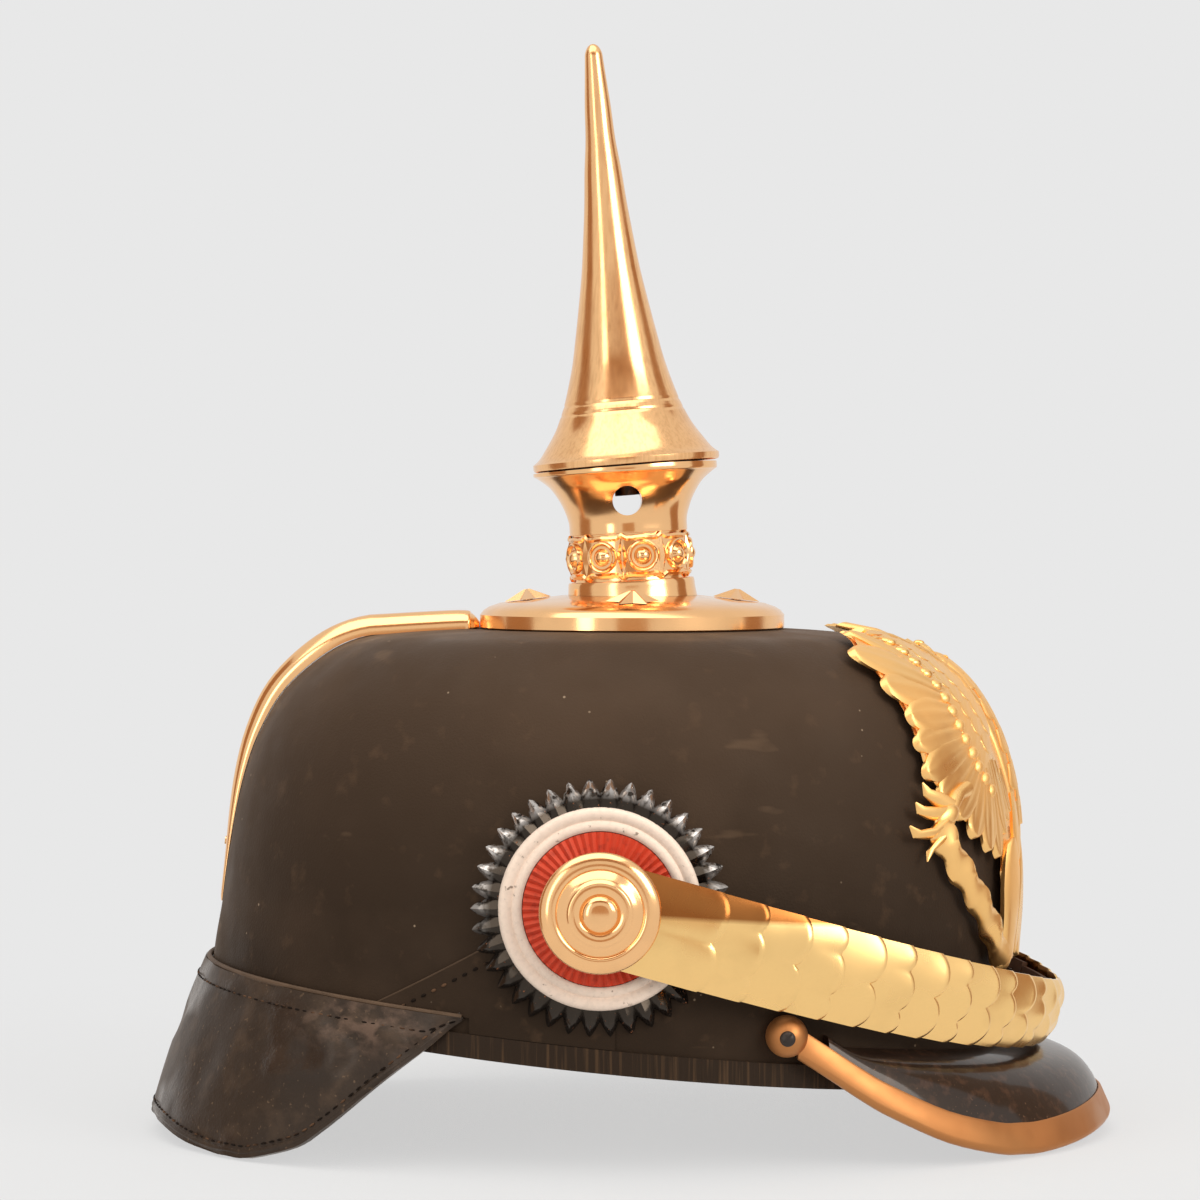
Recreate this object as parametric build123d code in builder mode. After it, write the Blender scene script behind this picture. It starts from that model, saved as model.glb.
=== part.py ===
from build123d import *
import os
from math import atan2, cos, hypot, pi, radians, sin, sqrt

os.makedirs("parts", exist_ok=True)

# An officer's spiked helmet. +X is the front, +Y the wearer's left, +Z up, and the
# helmet stands on Z = 0 on its front visor and its neck guard.

# Driving dimensions in millimetres, and angles in degrees
skull_half_length = 113.5
skull_half_width = 92
skull_height = 143.5
skull_wall = 2.4
overrun = 2
seat_gap = 0.12
fit_gap = 0.05

# The lower rim and the line where visor and neck guard join slope down to the front
rim_height = 26.5
rim_slope_share = 0.1
join_rise = 10.6

disc_radius = 44.1
disc_rise = 9.5
disc_middle = 0.3
disc_wall = 1.2
hub_radius = 20.5
hub_hole = 15.3

neck_lean = 3.2
neck_height = 36.3
neck_wall = 1.2
flange_radius = 26.6
vent_radius = 4.2

spike_lean = 4.6
spike_length = 122.4
spike_radius = 27
spike_wall = 1.4
rim_centre_x = -1.3
rim_centre_z = 190.6

visor_centre = 35
visor_reach = 100.8
visor_half_width = 86
visor_sheet = 2.2
trim_end_height = 34.3
trim_foot = 0.15

guard_centre = -46
guard_reach = 92.9
guard_half_width = 88
guard_sheet = 2.2
guard_edge_rise = 31.4
guard_foot = 0.58

post_x = -9
post_z = 71.5
post_radius = 2.5
boss_radius = 16.1
strap_lean = 16
strap_reach = 133
strap_half_width = 98.5

# The skull: rows of height, half length, half width and middle, as shares of its
# height, half length, half width and half length
skull_shares = (
    (0.07, 1.009, 1.0, -0.075),
    (0.28, 1.008, 1.0, -0.0635),
    (0.37, 1.006, 1.0, -0.0546),
    (0.453, 1.001, 0.999, -0.0414),
    (0.544, 0.992, 0.991, -0.0344),
    (0.633, 0.974, 0.976, -0.0326),
    (0.716, 0.949, 0.954, -0.0326),
    (0.794, 0.913, 0.922, -0.0326),
    (0.877, 0.851, 0.864, -0.0326),
    (0.944, 0.757, 0.777, -0.0326),
    (0.9805, 0.665, 0.69, -0.0326),
    (0.993, 0.552, 0.587, -0.0326),
    (1.0, 0.405, 0.478, -0.0326),
)


def skull_rows(offset):
    """The skull's rows, moved out of its surface by the offset."""
    rows = []
    for height, length, width, middle in skull_shares:
        size = (height * skull_height, length * skull_half_length)
        rows.append((*size, width * skull_half_width, middle * skull_half_length))
    moved = []
    for index, (height, length, width, middle) in enumerate(rows):
        before = rows[max(index - 1, 0)]
        after = rows[min(index + 1, len(rows) - 1)]
        rise = after[0] - before[0]
        run = before[1] - after[1]
        out = offset * rise / hypot(rise, run)
        up = offset * run / hypot(rise, run)
        moved.append((height + up, length + out, width + out, middle))
    return moved


def dome(offset):
    """A solid with the skull's outer shape, grown by the offset."""
    with BuildPart() as body:
        for height, length, width, middle in skull_rows(offset):
            with BuildSketch(Plane.XY.offset(height)):
                with Locations((middle, 0)):
                    Ellipse(length, width)
        loft(ruled=True)
    return body.part


def skull_row(height, offset):
    """Half length, half width and middle of the skull at one height."""
    rows = skull_rows(offset)
    for low, high in zip(rows, rows[1:]):
        if height <= high[0] or high is rows[-1]:
            part = (height - low[0]) / (high[0] - low[0])
            return [a + (b - a) * part for a, b in zip(low[1:], high[1:])]


def skull_side(x, height, offset=0):
    """The skull's half width at one place along its length."""
    length, width, middle = skull_row(height, offset)
    return width * sqrt(1 - ((x - middle) / length) ** 2)


def skull_reach(start, angle, height, offset=0):
    """How far the skull's side is from the point (start, 0), along a level direction."""
    length, width, middle = skull_row(height, offset)
    along, across = cos(angle) / length, sin(angle) / width
    begin = (start - middle) / length
    square = along**2 + across**2
    half = begin * along
    return (sqrt(half**2 - square * (begin**2 - 1)) - half) / square


def rim_plane(rise):
    """The sloping plane of the rim, raised by a height at the origin."""
    return Plane(
        origin=(0, 0, rim_height + rise),
        x_dir=(1, 0, -rim_slope_share),
        z_dir=(rim_slope_share, 0, 1),
    )


def join_height(x):
    """Height of the line where the visor and the neck guard meet the skull."""
    return rim_height + join_rise - rim_slope_share * x


def fan_plane(centre, angle):
    """An upright plane through (centre, 0), its x running out along the angle."""
    return Plane(
        origin=(centre, 0, 0),
        x_dir=(cos(angle), sin(angle), 0),
        z_dir=(sin(angle), -cos(angle), 0),
    )


def strip(centre_line, half):
    """The corners of a sheet of a given half thickness along a line of points."""
    outer = []
    inner = []
    for index, (x, y) in enumerate(centre_line):
        ahead = centre_line[min(index + 1, len(centre_line) - 1)]
        behind = centre_line[max(index - 1, 0)]
        run, rise = ahead[0] - behind[0], ahead[1] - behind[1]
        size = hypot(run, rise)
        outer.append((x - half * rise / size, y + half * run / size))
        inner.append((x + half * rise / size, y - half * run / size))
    return outer + inner[::-1]


def fan_loft(sections, centre):
    """A solid lofted through corner lists, each on its own upright plane."""
    with BuildPart() as body:
        for angle, corners in sections:
            with BuildSketch(fan_plane(centre, angle)):
                with BuildLine():
                    Polyline(*corners, close=True)
                make_face()
        loft()
    return body.part


skull_outside = dome(0)
skull_inside = dome(-skull_wall)
seat_outside = dome(seat_gap)

# Star studs hold the disc down at the front, the back and both sides
stud_circle = 30.2
star_radius = 7.7
star_waist = 4.6
star_rise = 2.9
star_tip_share = 0.12
star_points = 6
stud_radius = 1.4
nut_radius = 3.2
nut_thick = 1.1
nut_sides = 6
hub_height = skull_height + seat_gap + disc_rise

# The disc's profile: rows of radius and height shares, up to the foot of its cone
disc_shares = ((1, 0), (1, 0.45), (0.975, 0.58), (0.94, 0.67), (0.87, 0.78))
cone_run = disc_shares[-1][0] * disc_radius - hub_radius
cone_slope = (1 - disc_shares[-1][1]) * disc_rise / cone_run
stud_height = hub_height - (stud_circle - hub_radius) * cone_slope + fit_gap

crown_hole = 15

# Posts for the chin strap's bosses, and for the front plate
plate_post_angle = 28
plate_post_height = 95
plate_post_radius = 1.4
plate_gap = 2.6
plate_sheet = 1.9
plate_relief = 2.4

lug_x = 41
lug_y = 86.6
lug_z = 36.6
lug_radius = 5.7
screw_radius = 1.5


def surface_plane(height, turn, offset):
    """A plane on the skull's side, its normal pointing straight out."""
    length, width, middle = skull_row(height, 0)
    lower = skull_row(height - overrun, 0)[0]
    turn = radians(turn)
    out = (cos(turn) / length, sin(turn) / width)
    size = hypot(*out)
    lean = (lower - length) / overrun
    normal = Vector(out[0] / size, out[1] / size, lean).normalized()
    foot = Vector(middle + length * cos(turn), width * sin(turn), height)
    return Plane(origin=foot + normal * offset, x_dir=(0, 0, 1), z_dir=normal)


def stud_plane(angle, lift=0):
    """A plane on the disc's slope at one stud, tilted as the slope is."""
    turn = radians(angle)
    normal = Vector(cone_slope * cos(turn), cone_slope * sin(turn), 1).normalized()
    spot = (disc_middle + stud_circle * cos(turn), stud_circle * sin(turn), stud_height)
    return Plane(origin=Vector(spot) + normal * lift, x_dir=(-sin(turn), cos(turn), 0), z_dir=normal)


def skull_back(height):
    """The skull's back point and outward normal in the middle plane."""
    length, _, middle = skull_row(height, 0)
    upper = skull_row(height + seat_gap, 0)[0]
    lower = skull_row(height - seat_gap, 0)[0]
    size = hypot(2 * seat_gap, lower - upper)
    return (middle - length, height), (-2 * seat_gap / size, (lower - upper) / size)


# A rivet through the spine's lower end, turned over on a washer inside the skull
rivet_share = 0.57
rivet_radius = 1.2
rivet_head = 2.6
rivet_stand = 2
rivet_foot, rivet_normal = skull_back(rivet_share * skull_height)
rivet_plane = Plane(
    origin=(rivet_foot[0], 0, rivet_foot[1]),
    x_dir=(0, 1, 0),
    z_dir=(rivet_normal[0], 0, rivet_normal[1]),
)

stud_count = 4
inner_top = skull_height - skull_wall
post_line = Plane(origin=(post_x, 0, post_z), x_dir=(1, 0, 0), z_dir=(0, -1, 0))
lug_line = Plane(origin=(lug_x, 0, lug_z), x_dir=(1, 0, 0), z_dir=(0, -1, 0))

with BuildPart() as skull_shell:
    add(skull_outside)
    add(skull_inside, mode=Mode.SUBTRACT)
    split(bisect_by=rim_plane(0), keep=Keep.TOP)
    with BuildSketch(Plane.XY.offset(inner_top - overrun)):
        with Locations((disc_middle, 0)):
            Circle(crown_hole)
        with Locations((disc_middle, 0)):
            with PolarLocations(stud_circle, stud_count):
                Circle(stud_radius + fit_gap)
    extrude(amount=skull_wall + 2 * overrun, mode=Mode.SUBTRACT)
    with BuildSketch(post_line):
        Circle(post_radius + fit_gap)
    extrude(amount=skull_half_width + overrun, both=True, mode=Mode.SUBTRACT)
    with BuildSketch(lug_line):
        Circle(screw_radius + fit_gap)
    extrude(amount=skull_half_width + overrun, both=True, mode=Mode.SUBTRACT)
    for turn in (plate_post_angle, -plate_post_angle):
        with BuildSketch(surface_plane(plate_post_height, turn, 0)):
            Circle(plate_post_radius + fit_gap)
        extrude(amount=skull_wall + overrun, both=True, mode=Mode.SUBTRACT)
    with BuildSketch(rivet_plane):
        Circle(rivet_radius + fit_gap)
    extrude(amount=skull_wall + overrun, both=True, mode=Mode.SUBTRACT)
skull_shell.part.label = "skull_shell"
export_step(skull_shell.part, "parts/skull_shell.step")

# Front visor: sections fan out from a point inside the skull. The trim's rows are the
# share of a right angle from the front, and the height as a share of its end height
trim_shares = (
    (0, 0.219),
    (0.111, 0.207),
    (0.222, 0.178),
    (0.333, 0.143),
    (0.444, 0.123),
    (0.5, 0.134),
    (0.556, 0.16),
    (0.667, 0.289),
    (0.778, 0.516),
    (0.833, 0.662),
    (0.889, 0.834),
    (0.944, 1),
)
edge_slope_front = 66
edge_slope_side = 80
trim_half = 4.3
trim_thick = 3.8
trim_corner = 1
trim_slot = 0.15
visor_tuck = 1.6
visor_grip = 5
visor_rows = len(trim_shares) - 1
bend_shares = (0.35, 0.7)
root_share = 0.55
root_drop_share = 0.06
tail_share = 0.35


def trim_spot(turn_share, height_share):
    """Fan angle, distance, height and edge slope of the trim's middle."""
    turn = radians(90 * turn_share)
    along, across = visor_reach * cos(turn), visor_half_width * sin(turn)
    slope = edge_slope_front + (edge_slope_side - edge_slope_front) * sin(turn) ** 2
    height = trim_foot + height_share * trim_end_height
    return atan2(across, along), hypot(along, across), height, radians(slope)


def bezier(points, part):
    """A point on the curve that four control points give."""
    rest = 1 - part
    weights = (rest**3, 3 * rest**2 * part, 3 * rest * part**2, part**3)
    return tuple(sum(w * p[i] for w, p in zip(weights, points)) for i in (0, 1))


def visor_corners(angle, reach, height, slope):
    """The visor's section from inside the skull's wall to its edge in the trim."""
    step = (cos(slope), -sin(slope))
    end = (reach - step[0] * visor_grip, height - step[1] * visor_grip)
    join = join_height(visor_centre + end[0] * cos(angle))
    join = max(join, end[1] + visor_sheet / 2)
    root = skull_reach(visor_centre, angle, join)
    run, drop = end[0] - root, join - end[1]
    bend = (root + run * root_share, join - drop * root_drop_share)
    tail = tail_share * hypot(run, drop)
    curve = ((root, join), bend, (end[0] - step[0] * tail, end[1] - step[1] * tail), end)
    line = [(root - overrun, join), *(bezier(curve, share) for share in bend_shares), end]
    line.append((reach + step[0] * visor_tuck, height + step[1] * visor_tuck))
    return strip(line, visor_sheet / 2)


def trim_corners(angle, reach, height, slope):
    """The trim's section, a folded strip open towards the visor's edge."""
    step = (cos(slope), -sin(slope))
    out = (sin(slope), cos(slope))
    half = trim_thick / 2
    slot = visor_sheet / 2 + trim_slot
    blunt = trim_half - trim_corner
    local = (
        (-trim_half, half),
        (blunt, half),
        (trim_half, half - trim_corner),
        (trim_half, trim_corner - half),
        (blunt, -half),
        (-trim_half, -half),
        (-trim_half, -slot),
        (visor_tuck + trim_slot, -slot),
        (visor_tuck + trim_slot, slot),
        (-trim_half, slot),
    )
    return [(reach + p * step[0] + q * out[0], height + p * step[1] + q * out[1]) for p, q in local]


def both_ways(rows, corners, spot):
    """Sections for the rows from one side to the other."""
    sections = [(-spot(*row)[0], corners(*spot(*row))) for row in rows[:0:-1]]
    return sections + [(spot(*row)[0], corners(*spot(*row))) for row in rows]


visor_sheet_solid = fan_loft(both_ways(trim_shares[:visor_rows], visor_corners, trim_spot), visor_centre)
trim_solid = fan_loft(both_ways(trim_shares, trim_corners, trim_spot), visor_centre)
binding_sheet = 0.8
binding_height = 6.4
binding_outside = dome(seat_gap + binding_sheet)
binding_seat = dome(2 * seat_gap + binding_sheet)

with BuildPart() as front_visor:
    add(visor_sheet_solid)
    add(seat_outside, mode=Mode.SUBTRACT)
front_visor.part.label = "front_visor"
export_step(front_visor.part, "parts/front_visor.step")

with BuildPart() as visor_trim:
    add(trim_solid)
    with Locations((lug_x, lug_y, lug_z), (lug_x, -lug_y, lug_z)):
        Sphere(lug_radius)
    add(binding_seat, mode=Mode.SUBTRACT)
    with BuildSketch(lug_line):
        Circle(screw_radius + fit_gap)
    extrude(amount=lug_y + 2 * lug_radius, both=True, mode=Mode.SUBTRACT)
visor_trim.part.label = "visor_trim"
export_step(visor_trim.part, "parts/visor_trim.step")

screw_head = 2.2
screw_head_thick = 1
screw_inside = skull_side(lug_x - screw_radius, lug_z, -skull_wall) + fit_gap
with BuildPart() as trim_screws:
    for side in (1, -1):
        with BuildSketch(Plane.XZ.offset(side * screw_inside)):
            with Locations((lug_x, lug_z)):
                Circle(screw_radius)
        extrude(amount=side * (lug_y + lug_radius - screw_inside))
        with BuildSketch(Plane.XZ.offset(side * (lug_y + lug_radius))):
            with Locations((lug_x, lug_z)):
                Circle(screw_head)
        extrude(amount=side * screw_head_thick)
trim_screws.part.label = "trim_screws"
export_step(trim_screws.part, "parts/trim_screws.step")

# Neck guard: rows of the share of a right angle from the back, and the height of its
# lower edge as a share of the edge's rise
guard_shares = (
    (0, 0.14),
    (0.111, 0.156),
    (0.222, 0.127),
    (0.333, 0.057),
    (0.444, 0.004),
    (0.5, 0),
    (0.556, 0.006),
    (0.667, 0.14),
    (0.722, 0.29),
    (0.778, 0.484),
    (0.833, 0.694),
    (0.889, 0.873),
    (0.944, 0.975),
    (0.98, 1),
)
guard_bend_shares = (0.4, 0.75)
guard_bulge_share = 0.02


def guard_spot(turn_share, height_share):
    """Fan angle, distance and height of the neck guard's lower edge."""
    turn = radians(90 * turn_share)
    along, across = guard_reach * cos(turn), guard_half_width * sin(turn)
    height = guard_foot + height_share * guard_edge_rise
    return pi - atan2(across, along), hypot(along, across), height


def guard_corners(angle, reach, height):
    """The neck guard's section from its seam on the skull to its lower edge."""
    root = skull_reach(guard_centre, angle, join_height(guard_centre))
    join = join_height(guard_centre + root * cos(angle))
    root = skull_reach(guard_centre, angle, join) + seat_gap + guard_sheet
    run, drop = reach - root, join - height
    size = hypot(run, drop)
    bulge = guard_bulge_share * size
    side = (drop / size, run / size)
    outer = [(root, join)]
    for share in guard_bend_shares:
        outer.append((root + run * share + side[0] * bulge, join - drop * share + side[1] * bulge))
    outer.append((reach, height))
    inner = [(x - side[0] * guard_sheet, y - side[1] * guard_sheet) for x, y in outer[1:]]
    return outer + inner[::-1] + [(root - guard_sheet - overrun, join)]


guard_solid = fan_loft(both_ways(guard_shares, guard_corners, guard_spot), guard_centre)

with BuildPart() as neck_guard:
    add(guard_solid)
    add(binding_seat, mode=Mode.SUBTRACT)
neck_guard.part.label = "neck_guard"
export_step(neck_guard.part, "parts/neck_guard.step")

with BuildPart() as edge_binding:
    add(binding_outside)
    add(seat_outside, mode=Mode.SUBTRACT)
    split(bisect_by=rim_plane(0), keep=Keep.TOP)
    split(bisect_by=rim_plane(binding_height), keep=Keep.BOTTOM)
edge_binding.part.label = "edge_binding"
export_step(edge_binding.part, "parts/edge_binding.step")

# A second layer of leather lies on each side, from the neck guard to the cockade
overlay_sheet = 0.6
overlay_front = 4
overlay_tail = 61
overlay_rise = 9
overlay_bend = (-27, -9)
overlay_solid = dome(seat_gap + overlay_sheet)
guard_tip_x = guard_centre + overrun

with BuildPart() as right_overlay:
    add(overlay_solid)
    add(seat_outside, mode=Mode.SUBTRACT)
    with BuildSketch(Plane.XZ):
        with BuildLine():
            low = binding_height + seat_gap - join_rise
            start = (post_x + overlay_front, join_height(post_x + overlay_front) + low)
            corner = (guard_tip_x, join_height(guard_tip_x) + low)
            tip = (guard_tip_x, join_height(guard_tip_x) + seat_gap)
            tail = (post_x - overlay_tail, join_height(post_x - overlay_tail) + seat_gap)
            shoulder = (post_x + overlay_bend[0], post_z + overlay_bend[1])
            Polyline(start, corner, tip, tail)
            bow = ((tail[0] + shoulder[0]) / 2, tail[1] + overlay_rise)
            ThreePointArc(tail, bow, shoulder)
            Polyline(shoulder, (post_x, post_z), (post_x + overlay_front, post_z), start)
        make_face()
    extrude(amount=skull_half_width + overrun, mode=Mode.INTERSECT)
    with BuildSketch(post_line):
        Circle(post_radius + fit_gap)
    extrude(amount=skull_half_width + overrun, mode=Mode.SUBTRACT)
right_overlay.part.label = "right_overlay"
export_step(right_overlay.part, "parts/right_overlay.step")

with BuildPart() as left_overlay:
    mirror(right_overlay.part, about=Plane.XZ)
left_overlay.part.label = "left_overlay"
export_step(left_overlay.part, "parts/left_overlay.step")

# Rear spine: rows of height, stand-off from the skull and half width. The height is a
# share of the skull's, the stand-off and half width are shares of the spine's own
spine_rise = 6.2
spine_half_width = 6.5
spine_shares = (
    (0.45, 0.08, 0.25),
    (0.47, 0.14, 0.5),
    (0.55, 0.2, 0.62),
    (0.65, 0.4, 0.72),
    (0.75, 0.62, 0.8),
    (0.84, 0.84, 0.88),
    (0.91, 0.95, 0.95),
    (0.96, 1, 1),
    (0.987, 1, 1),
)
spine_end_shares = ((0.8, 0.94, 0.95), (0.93, 0.72, 0.8), (1, 0.3, 0.45))


def spine_stations():
    """Foot, outward normal, rise and half width along the spine."""
    stations = []
    for height, rise, width in spine_shares:
        foot, normal = skull_back(height * skull_height)
        stations.append((foot, normal, rise * spine_rise, width * spine_half_width))
    last = stations[-1][0]
    goal = (disc_middle - disc_radius - seat_gap, skull_height)
    for part, rise, width in spine_end_shares:
        foot = [a + (b - a) * part for a, b in zip(last, goal)]
        stations.append((foot, (0, 1), rise * spine_rise, width * spine_half_width))
    return stations


with BuildPart() as rear_spine:
    for foot, normal, rise, width in spine_stations():
        base = (foot[0] + normal[0] * seat_gap, 0, foot[1] + normal[1] * seat_gap)
        along = (normal[1], 0, -normal[0])
        with BuildSketch(Plane(origin=base, x_dir=(0, 1, 0), z_dir=along)):
            with BuildLine():
                ThreePointArc((-width, 0), (0, rise), (width, 0))
                Line((width, 0), (-width, 0))
            make_face()
    loft()
    add(seat_outside, mode=Mode.SUBTRACT)
    with BuildSketch(rivet_plane):
        Circle(rivet_radius + fit_gap)
    extrude(amount=rivet_stand + overrun, mode=Mode.SUBTRACT)
rear_spine.part.label = "rear_spine"
export_step(rear_spine.part, "parts/rear_spine.step")

with BuildPart() as spine_rivet:
    with BuildSketch(rivet_plane.offset(rivet_stand)):
        Circle(rivet_radius)
    extrude(amount=-rivet_stand - skull_wall - nut_thick)
    with BuildSketch(rivet_plane.offset(-skull_wall - seat_gap)):
        Circle(rivet_head)
    extrude(amount=seat_gap - nut_thick)
spine_rivet.part.label = "spine_rivet"
export_step(spine_rivet.part, "parts/spine_rivet.step")

# Disc under the spike
with BuildPart() as spike_base:
    bottom = skull_height + seat_gap
    with BuildSketch(Plane.XZ):
        with BuildLine():
            outline = [(disc_middle + r * disc_radius, bottom + h * disc_rise) for r, h in disc_shares]
            hub = [(disc_middle + hub_radius, hub_height), (disc_middle, hub_height)]
            Polyline(*outline, *hub, (disc_middle, bottom), close=True)
        make_face()
    revolve(axis=Axis((disc_middle, 0, 0), (0, 0, 1)))
    under = spike_base.faces().sort_by(Axis.Z)[0]
    offset(amount=-disc_wall, openings=under)
    with BuildSketch(Plane.XY.offset(bottom)):
        with Locations((disc_middle, 0)):
            Circle(hub_hole)
    extrude(amount=disc_rise + overrun, mode=Mode.SUBTRACT)
    with BuildSketch(Plane.XY.offset(bottom)):
        with Locations((disc_middle, 0)):
            with PolarLocations(stud_circle, stud_count):
                Circle(stud_radius + fit_gap)
    extrude(amount=disc_rise, mode=Mode.SUBTRACT)
spike_base.part.label = "spike_base"
export_step(spike_base.part, "parts/spike_base.step")


def star(size):
    """Corners of a six-pointed star, its waist in the same proportion."""
    radii = (size, size * star_waist / star_radius)
    corners = []
    for index in range(2 * star_points):
        turn = index * pi / star_points
        corners.append((radii[index % 2] * cos(turn), radii[index % 2] * sin(turn)))
    return corners


with BuildPart() as star_studs:
    for index in range(stud_count):
        angle = 360 * index / stud_count
        with BuildSketch(stud_plane(angle, fit_gap)):
            with BuildLine():
                Polyline(*star(star_radius), close=True)
            make_face()
        with BuildSketch(stud_plane(angle, fit_gap + star_rise)):
            with BuildLine():
                Polyline(*star(star_radius * star_tip_share), close=True)
            make_face()
        loft()
        foot = stud_plane(angle).origin
        with BuildSketch(Plane.XY.offset(inner_top - nut_thick)):
            with Locations((foot.X, foot.Y)):
                Circle(stud_radius)
        extrude(amount=foot.Z + star_rise / 2 - inner_top + nut_thick)
star_studs.part.label = "star_studs"
export_step(star_studs.part, "parts/star_studs.step")

with BuildPart() as stud_nuts:
    with BuildSketch(Plane.XY.offset(inner_top - nut_thick)):
        with Locations((disc_middle, 0)):
            with PolarLocations(stud_circle, stud_count):
                RegularPolygon(nut_radius, nut_sides)
            with PolarLocations(stud_circle, stud_count):
                Circle(stud_radius + fit_gap, mode=Mode.SUBTRACT)
    extrude(amount=nut_thick - fit_gap)
stud_nuts.part.label = "stud_nuts"
export_step(stud_nuts.part, "parts/stud_nuts.step")


def leaning_section(x, z, lean):
    """A section plane and axis through a point, leaning to the back."""
    tilt = radians(lean)
    axis = (-sin(tilt), 0, cos(tilt))
    section = Plane(origin=(x, 0, z), x_dir=(cos(tilt), 0, sin(tilt)), z_dir=(0, -1, 0))
    level = Plane(origin=(x, 0, z), x_dir=(cos(tilt), 0, sin(tilt)), z_dir=axis)
    return section, Axis((x, 0, z), axis), level


# Vented neck: rows of radius and height, as shares of the flange's and the neck's
neck_waist_share = 0.615
neck_shares = (
    (0.72, 0),
    (0.715, 0.035),
    (0.63, 0.1),
    (neck_waist_share, 0.14),
    (neck_waist_share, 0.49),
    (0.64, 0.5),
    (0.645, 0.6),
    (0.69, 0.71),
    (0.75, 0.8),
    (0.835, 0.89),
    (0.96, 0.965),
    (1, 0.985),
    (1, 1.04),
)
neck_hollow_shares = neck_shares[2:10]
neck_base_z = hub_height + fit_gap
neck_section, neck_axis, neck_level = leaning_section(disc_middle, neck_base_z, neck_lean)
spike_section, spike_axis, spike_level = leaning_section(rim_centre_x, rim_centre_z, spike_lean)
neck_top_gap = 0.25
recess_depth = 1.3
recess_radius = 12
thread_radius = 4
vent_height = 27.3

with BuildPart() as vent_neck:
    with BuildSketch(neck_section):
        with BuildLine():
            side = [(r * flange_radius, h * neck_height) for r, h in neck_shares]
            foot = (side[0][0], -overrun)
            Polyline((0, -overrun), foot, *side, (0, side[-1][1]), close=True)
        make_face()
    revolve(axis=neck_axis)
    split(bisect_by=spike_level.offset(-neck_top_gap), keep=Keep.BOTTOM)
    split(bisect_by=Plane.XY.offset(neck_base_z), keep=Keep.TOP)
    with BuildSketch(neck_section):
        with BuildLine():
            inner = [(r * flange_radius - neck_wall, h * neck_height) for r, h in neck_hollow_shares]
            top = (0, inner[-1][1])
            Polyline((hub_hole, -overrun), *inner, top, (0, -overrun), close=True)
        make_face()
    revolve(axis=neck_axis, mode=Mode.SUBTRACT)
    with BuildSketch(Plane.XZ):
        with Locations((disc_middle - vent_height * sin(radians(neck_lean)), neck_base_z + vent_height)):
            Circle(vent_radius)
    extrude(amount=flange_radius, both=True, mode=Mode.SUBTRACT)
    with BuildSketch(spike_level.offset(-neck_top_gap)):
        Circle(recess_radius)
    extrude(amount=-recess_depth, mode=Mode.SUBTRACT)
    with BuildSketch(spike_level):
        Circle(thread_radius + fit_gap)
    extrude(amount=-neck_height / 2, mode=Mode.SUBTRACT)
vent_neck.part.label = "vent_neck"
export_step(vent_neck.part, "parts/vent_neck.step")

# Pearl ring round the neck: nine round medallions on a band
pearl_count = 9
pearl_first = -78
pearl_radius = 4.2
pearl_low_share = 0.15
pearl_high_share = 0.48
pearl_stand = 1.7
band_thick = 1

with BuildPart() as pearl_ring:
    inner = neck_waist_share * flange_radius + seat_gap
    low, high = pearl_low_share * neck_height, pearl_high_share * neck_height
    with BuildSketch(neck_section):
        with BuildLine():
            outer = inner + band_thick
            Polyline((inner, low), (outer, low), (outer, high), (inner, high), close=True)
        make_face()
    revolve(axis=neck_axis)
    middle = neck_level.offset((low + high) / 2)
    for index in range(pearl_count):
        turn = radians(pearl_first + index * 360 / pearl_count)
        out = middle.x_dir * cos(turn) + middle.y_dir * sin(turn)
        start = middle.origin + out * (inner + band_thick / 2)
        with BuildSketch(Plane(origin=start, x_dir=middle.z_dir, z_dir=out)):
            Circle(pearl_radius)
        extrude(amount=pearl_stand - band_thick / 2)
pearl_ring.part.label = "pearl_ring"
export_step(pearl_ring.part, "parts/pearl_ring.step")

# Spike: rows of radius and height, as shares of its rim radius and its length
spike_shares = (
    (1, 0.017),
    (0.93, 0.03),
    (0.853, 0.053),
    (0.737, 0.092),
    (0.659, 0.129),
    (0.596, 0.167),
    (0.5, 0.242),
    (0.43, 0.319),
    (0.367, 0.395),
    (0.311, 0.47),
    (0.2685, 0.546),
    (0.23, 0.622),
    (0.2, 0.698),
    (0.161, 0.774),
    (0.141, 0.85),
    (0.113, 0.925),
    (0.098, 0.965),
    (0.07, 0.988),
    (0.03, 0.998),
)
spike_hollow_shares = spike_shares[1:12]

with BuildPart() as spike:
    with BuildSketch(spike_section):
        with BuildLine():
            side = [(r * spike_radius, h * spike_length) for r, h in spike_shares]
            Polyline((0, 0), (spike_radius, 0), *side, (0, spike_length), close=True)
        make_face()
    revolve(axis=spike_axis)
    with BuildSketch(spike_section):
        with BuildLine():
            side = [(r * spike_radius - spike_wall, h * spike_length) for r, h in spike_hollow_shares]
            mouth = (side[0][0], -overrun)
            Polyline((0, -overrun), mouth, *side, (0, side[-1][1]), close=True)
        make_face()
    revolve(axis=spike_axis, mode=Mode.SUBTRACT)
spike.part.label = "spike"
export_step(spike.part, "parts/spike.step")

# The plug closes the spike's mouth, and its threaded stud screws into the neck
plug_thick = 2
plug_radius = 22.6
shoulder_radius = 9
stud_reach = 8.5
washer_thick = 0.7
shoulder_drop = neck_top_gap + recess_depth - washer_thick - 2 * fit_gap

with BuildPart() as spike_stud:
    with BuildSketch(spike_level):
        Circle(plug_radius)
    extrude(amount=plug_thick)
    with BuildSketch(spike_level):
        Circle(shoulder_radius)
    extrude(amount=-shoulder_drop)
    with BuildSketch(spike_level):
        Circle(thread_radius)
    extrude(amount=-stud_reach)
spike_stud.part.label = "spike_stud"
export_step(spike_stud.part, "parts/spike_stud.step")

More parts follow.
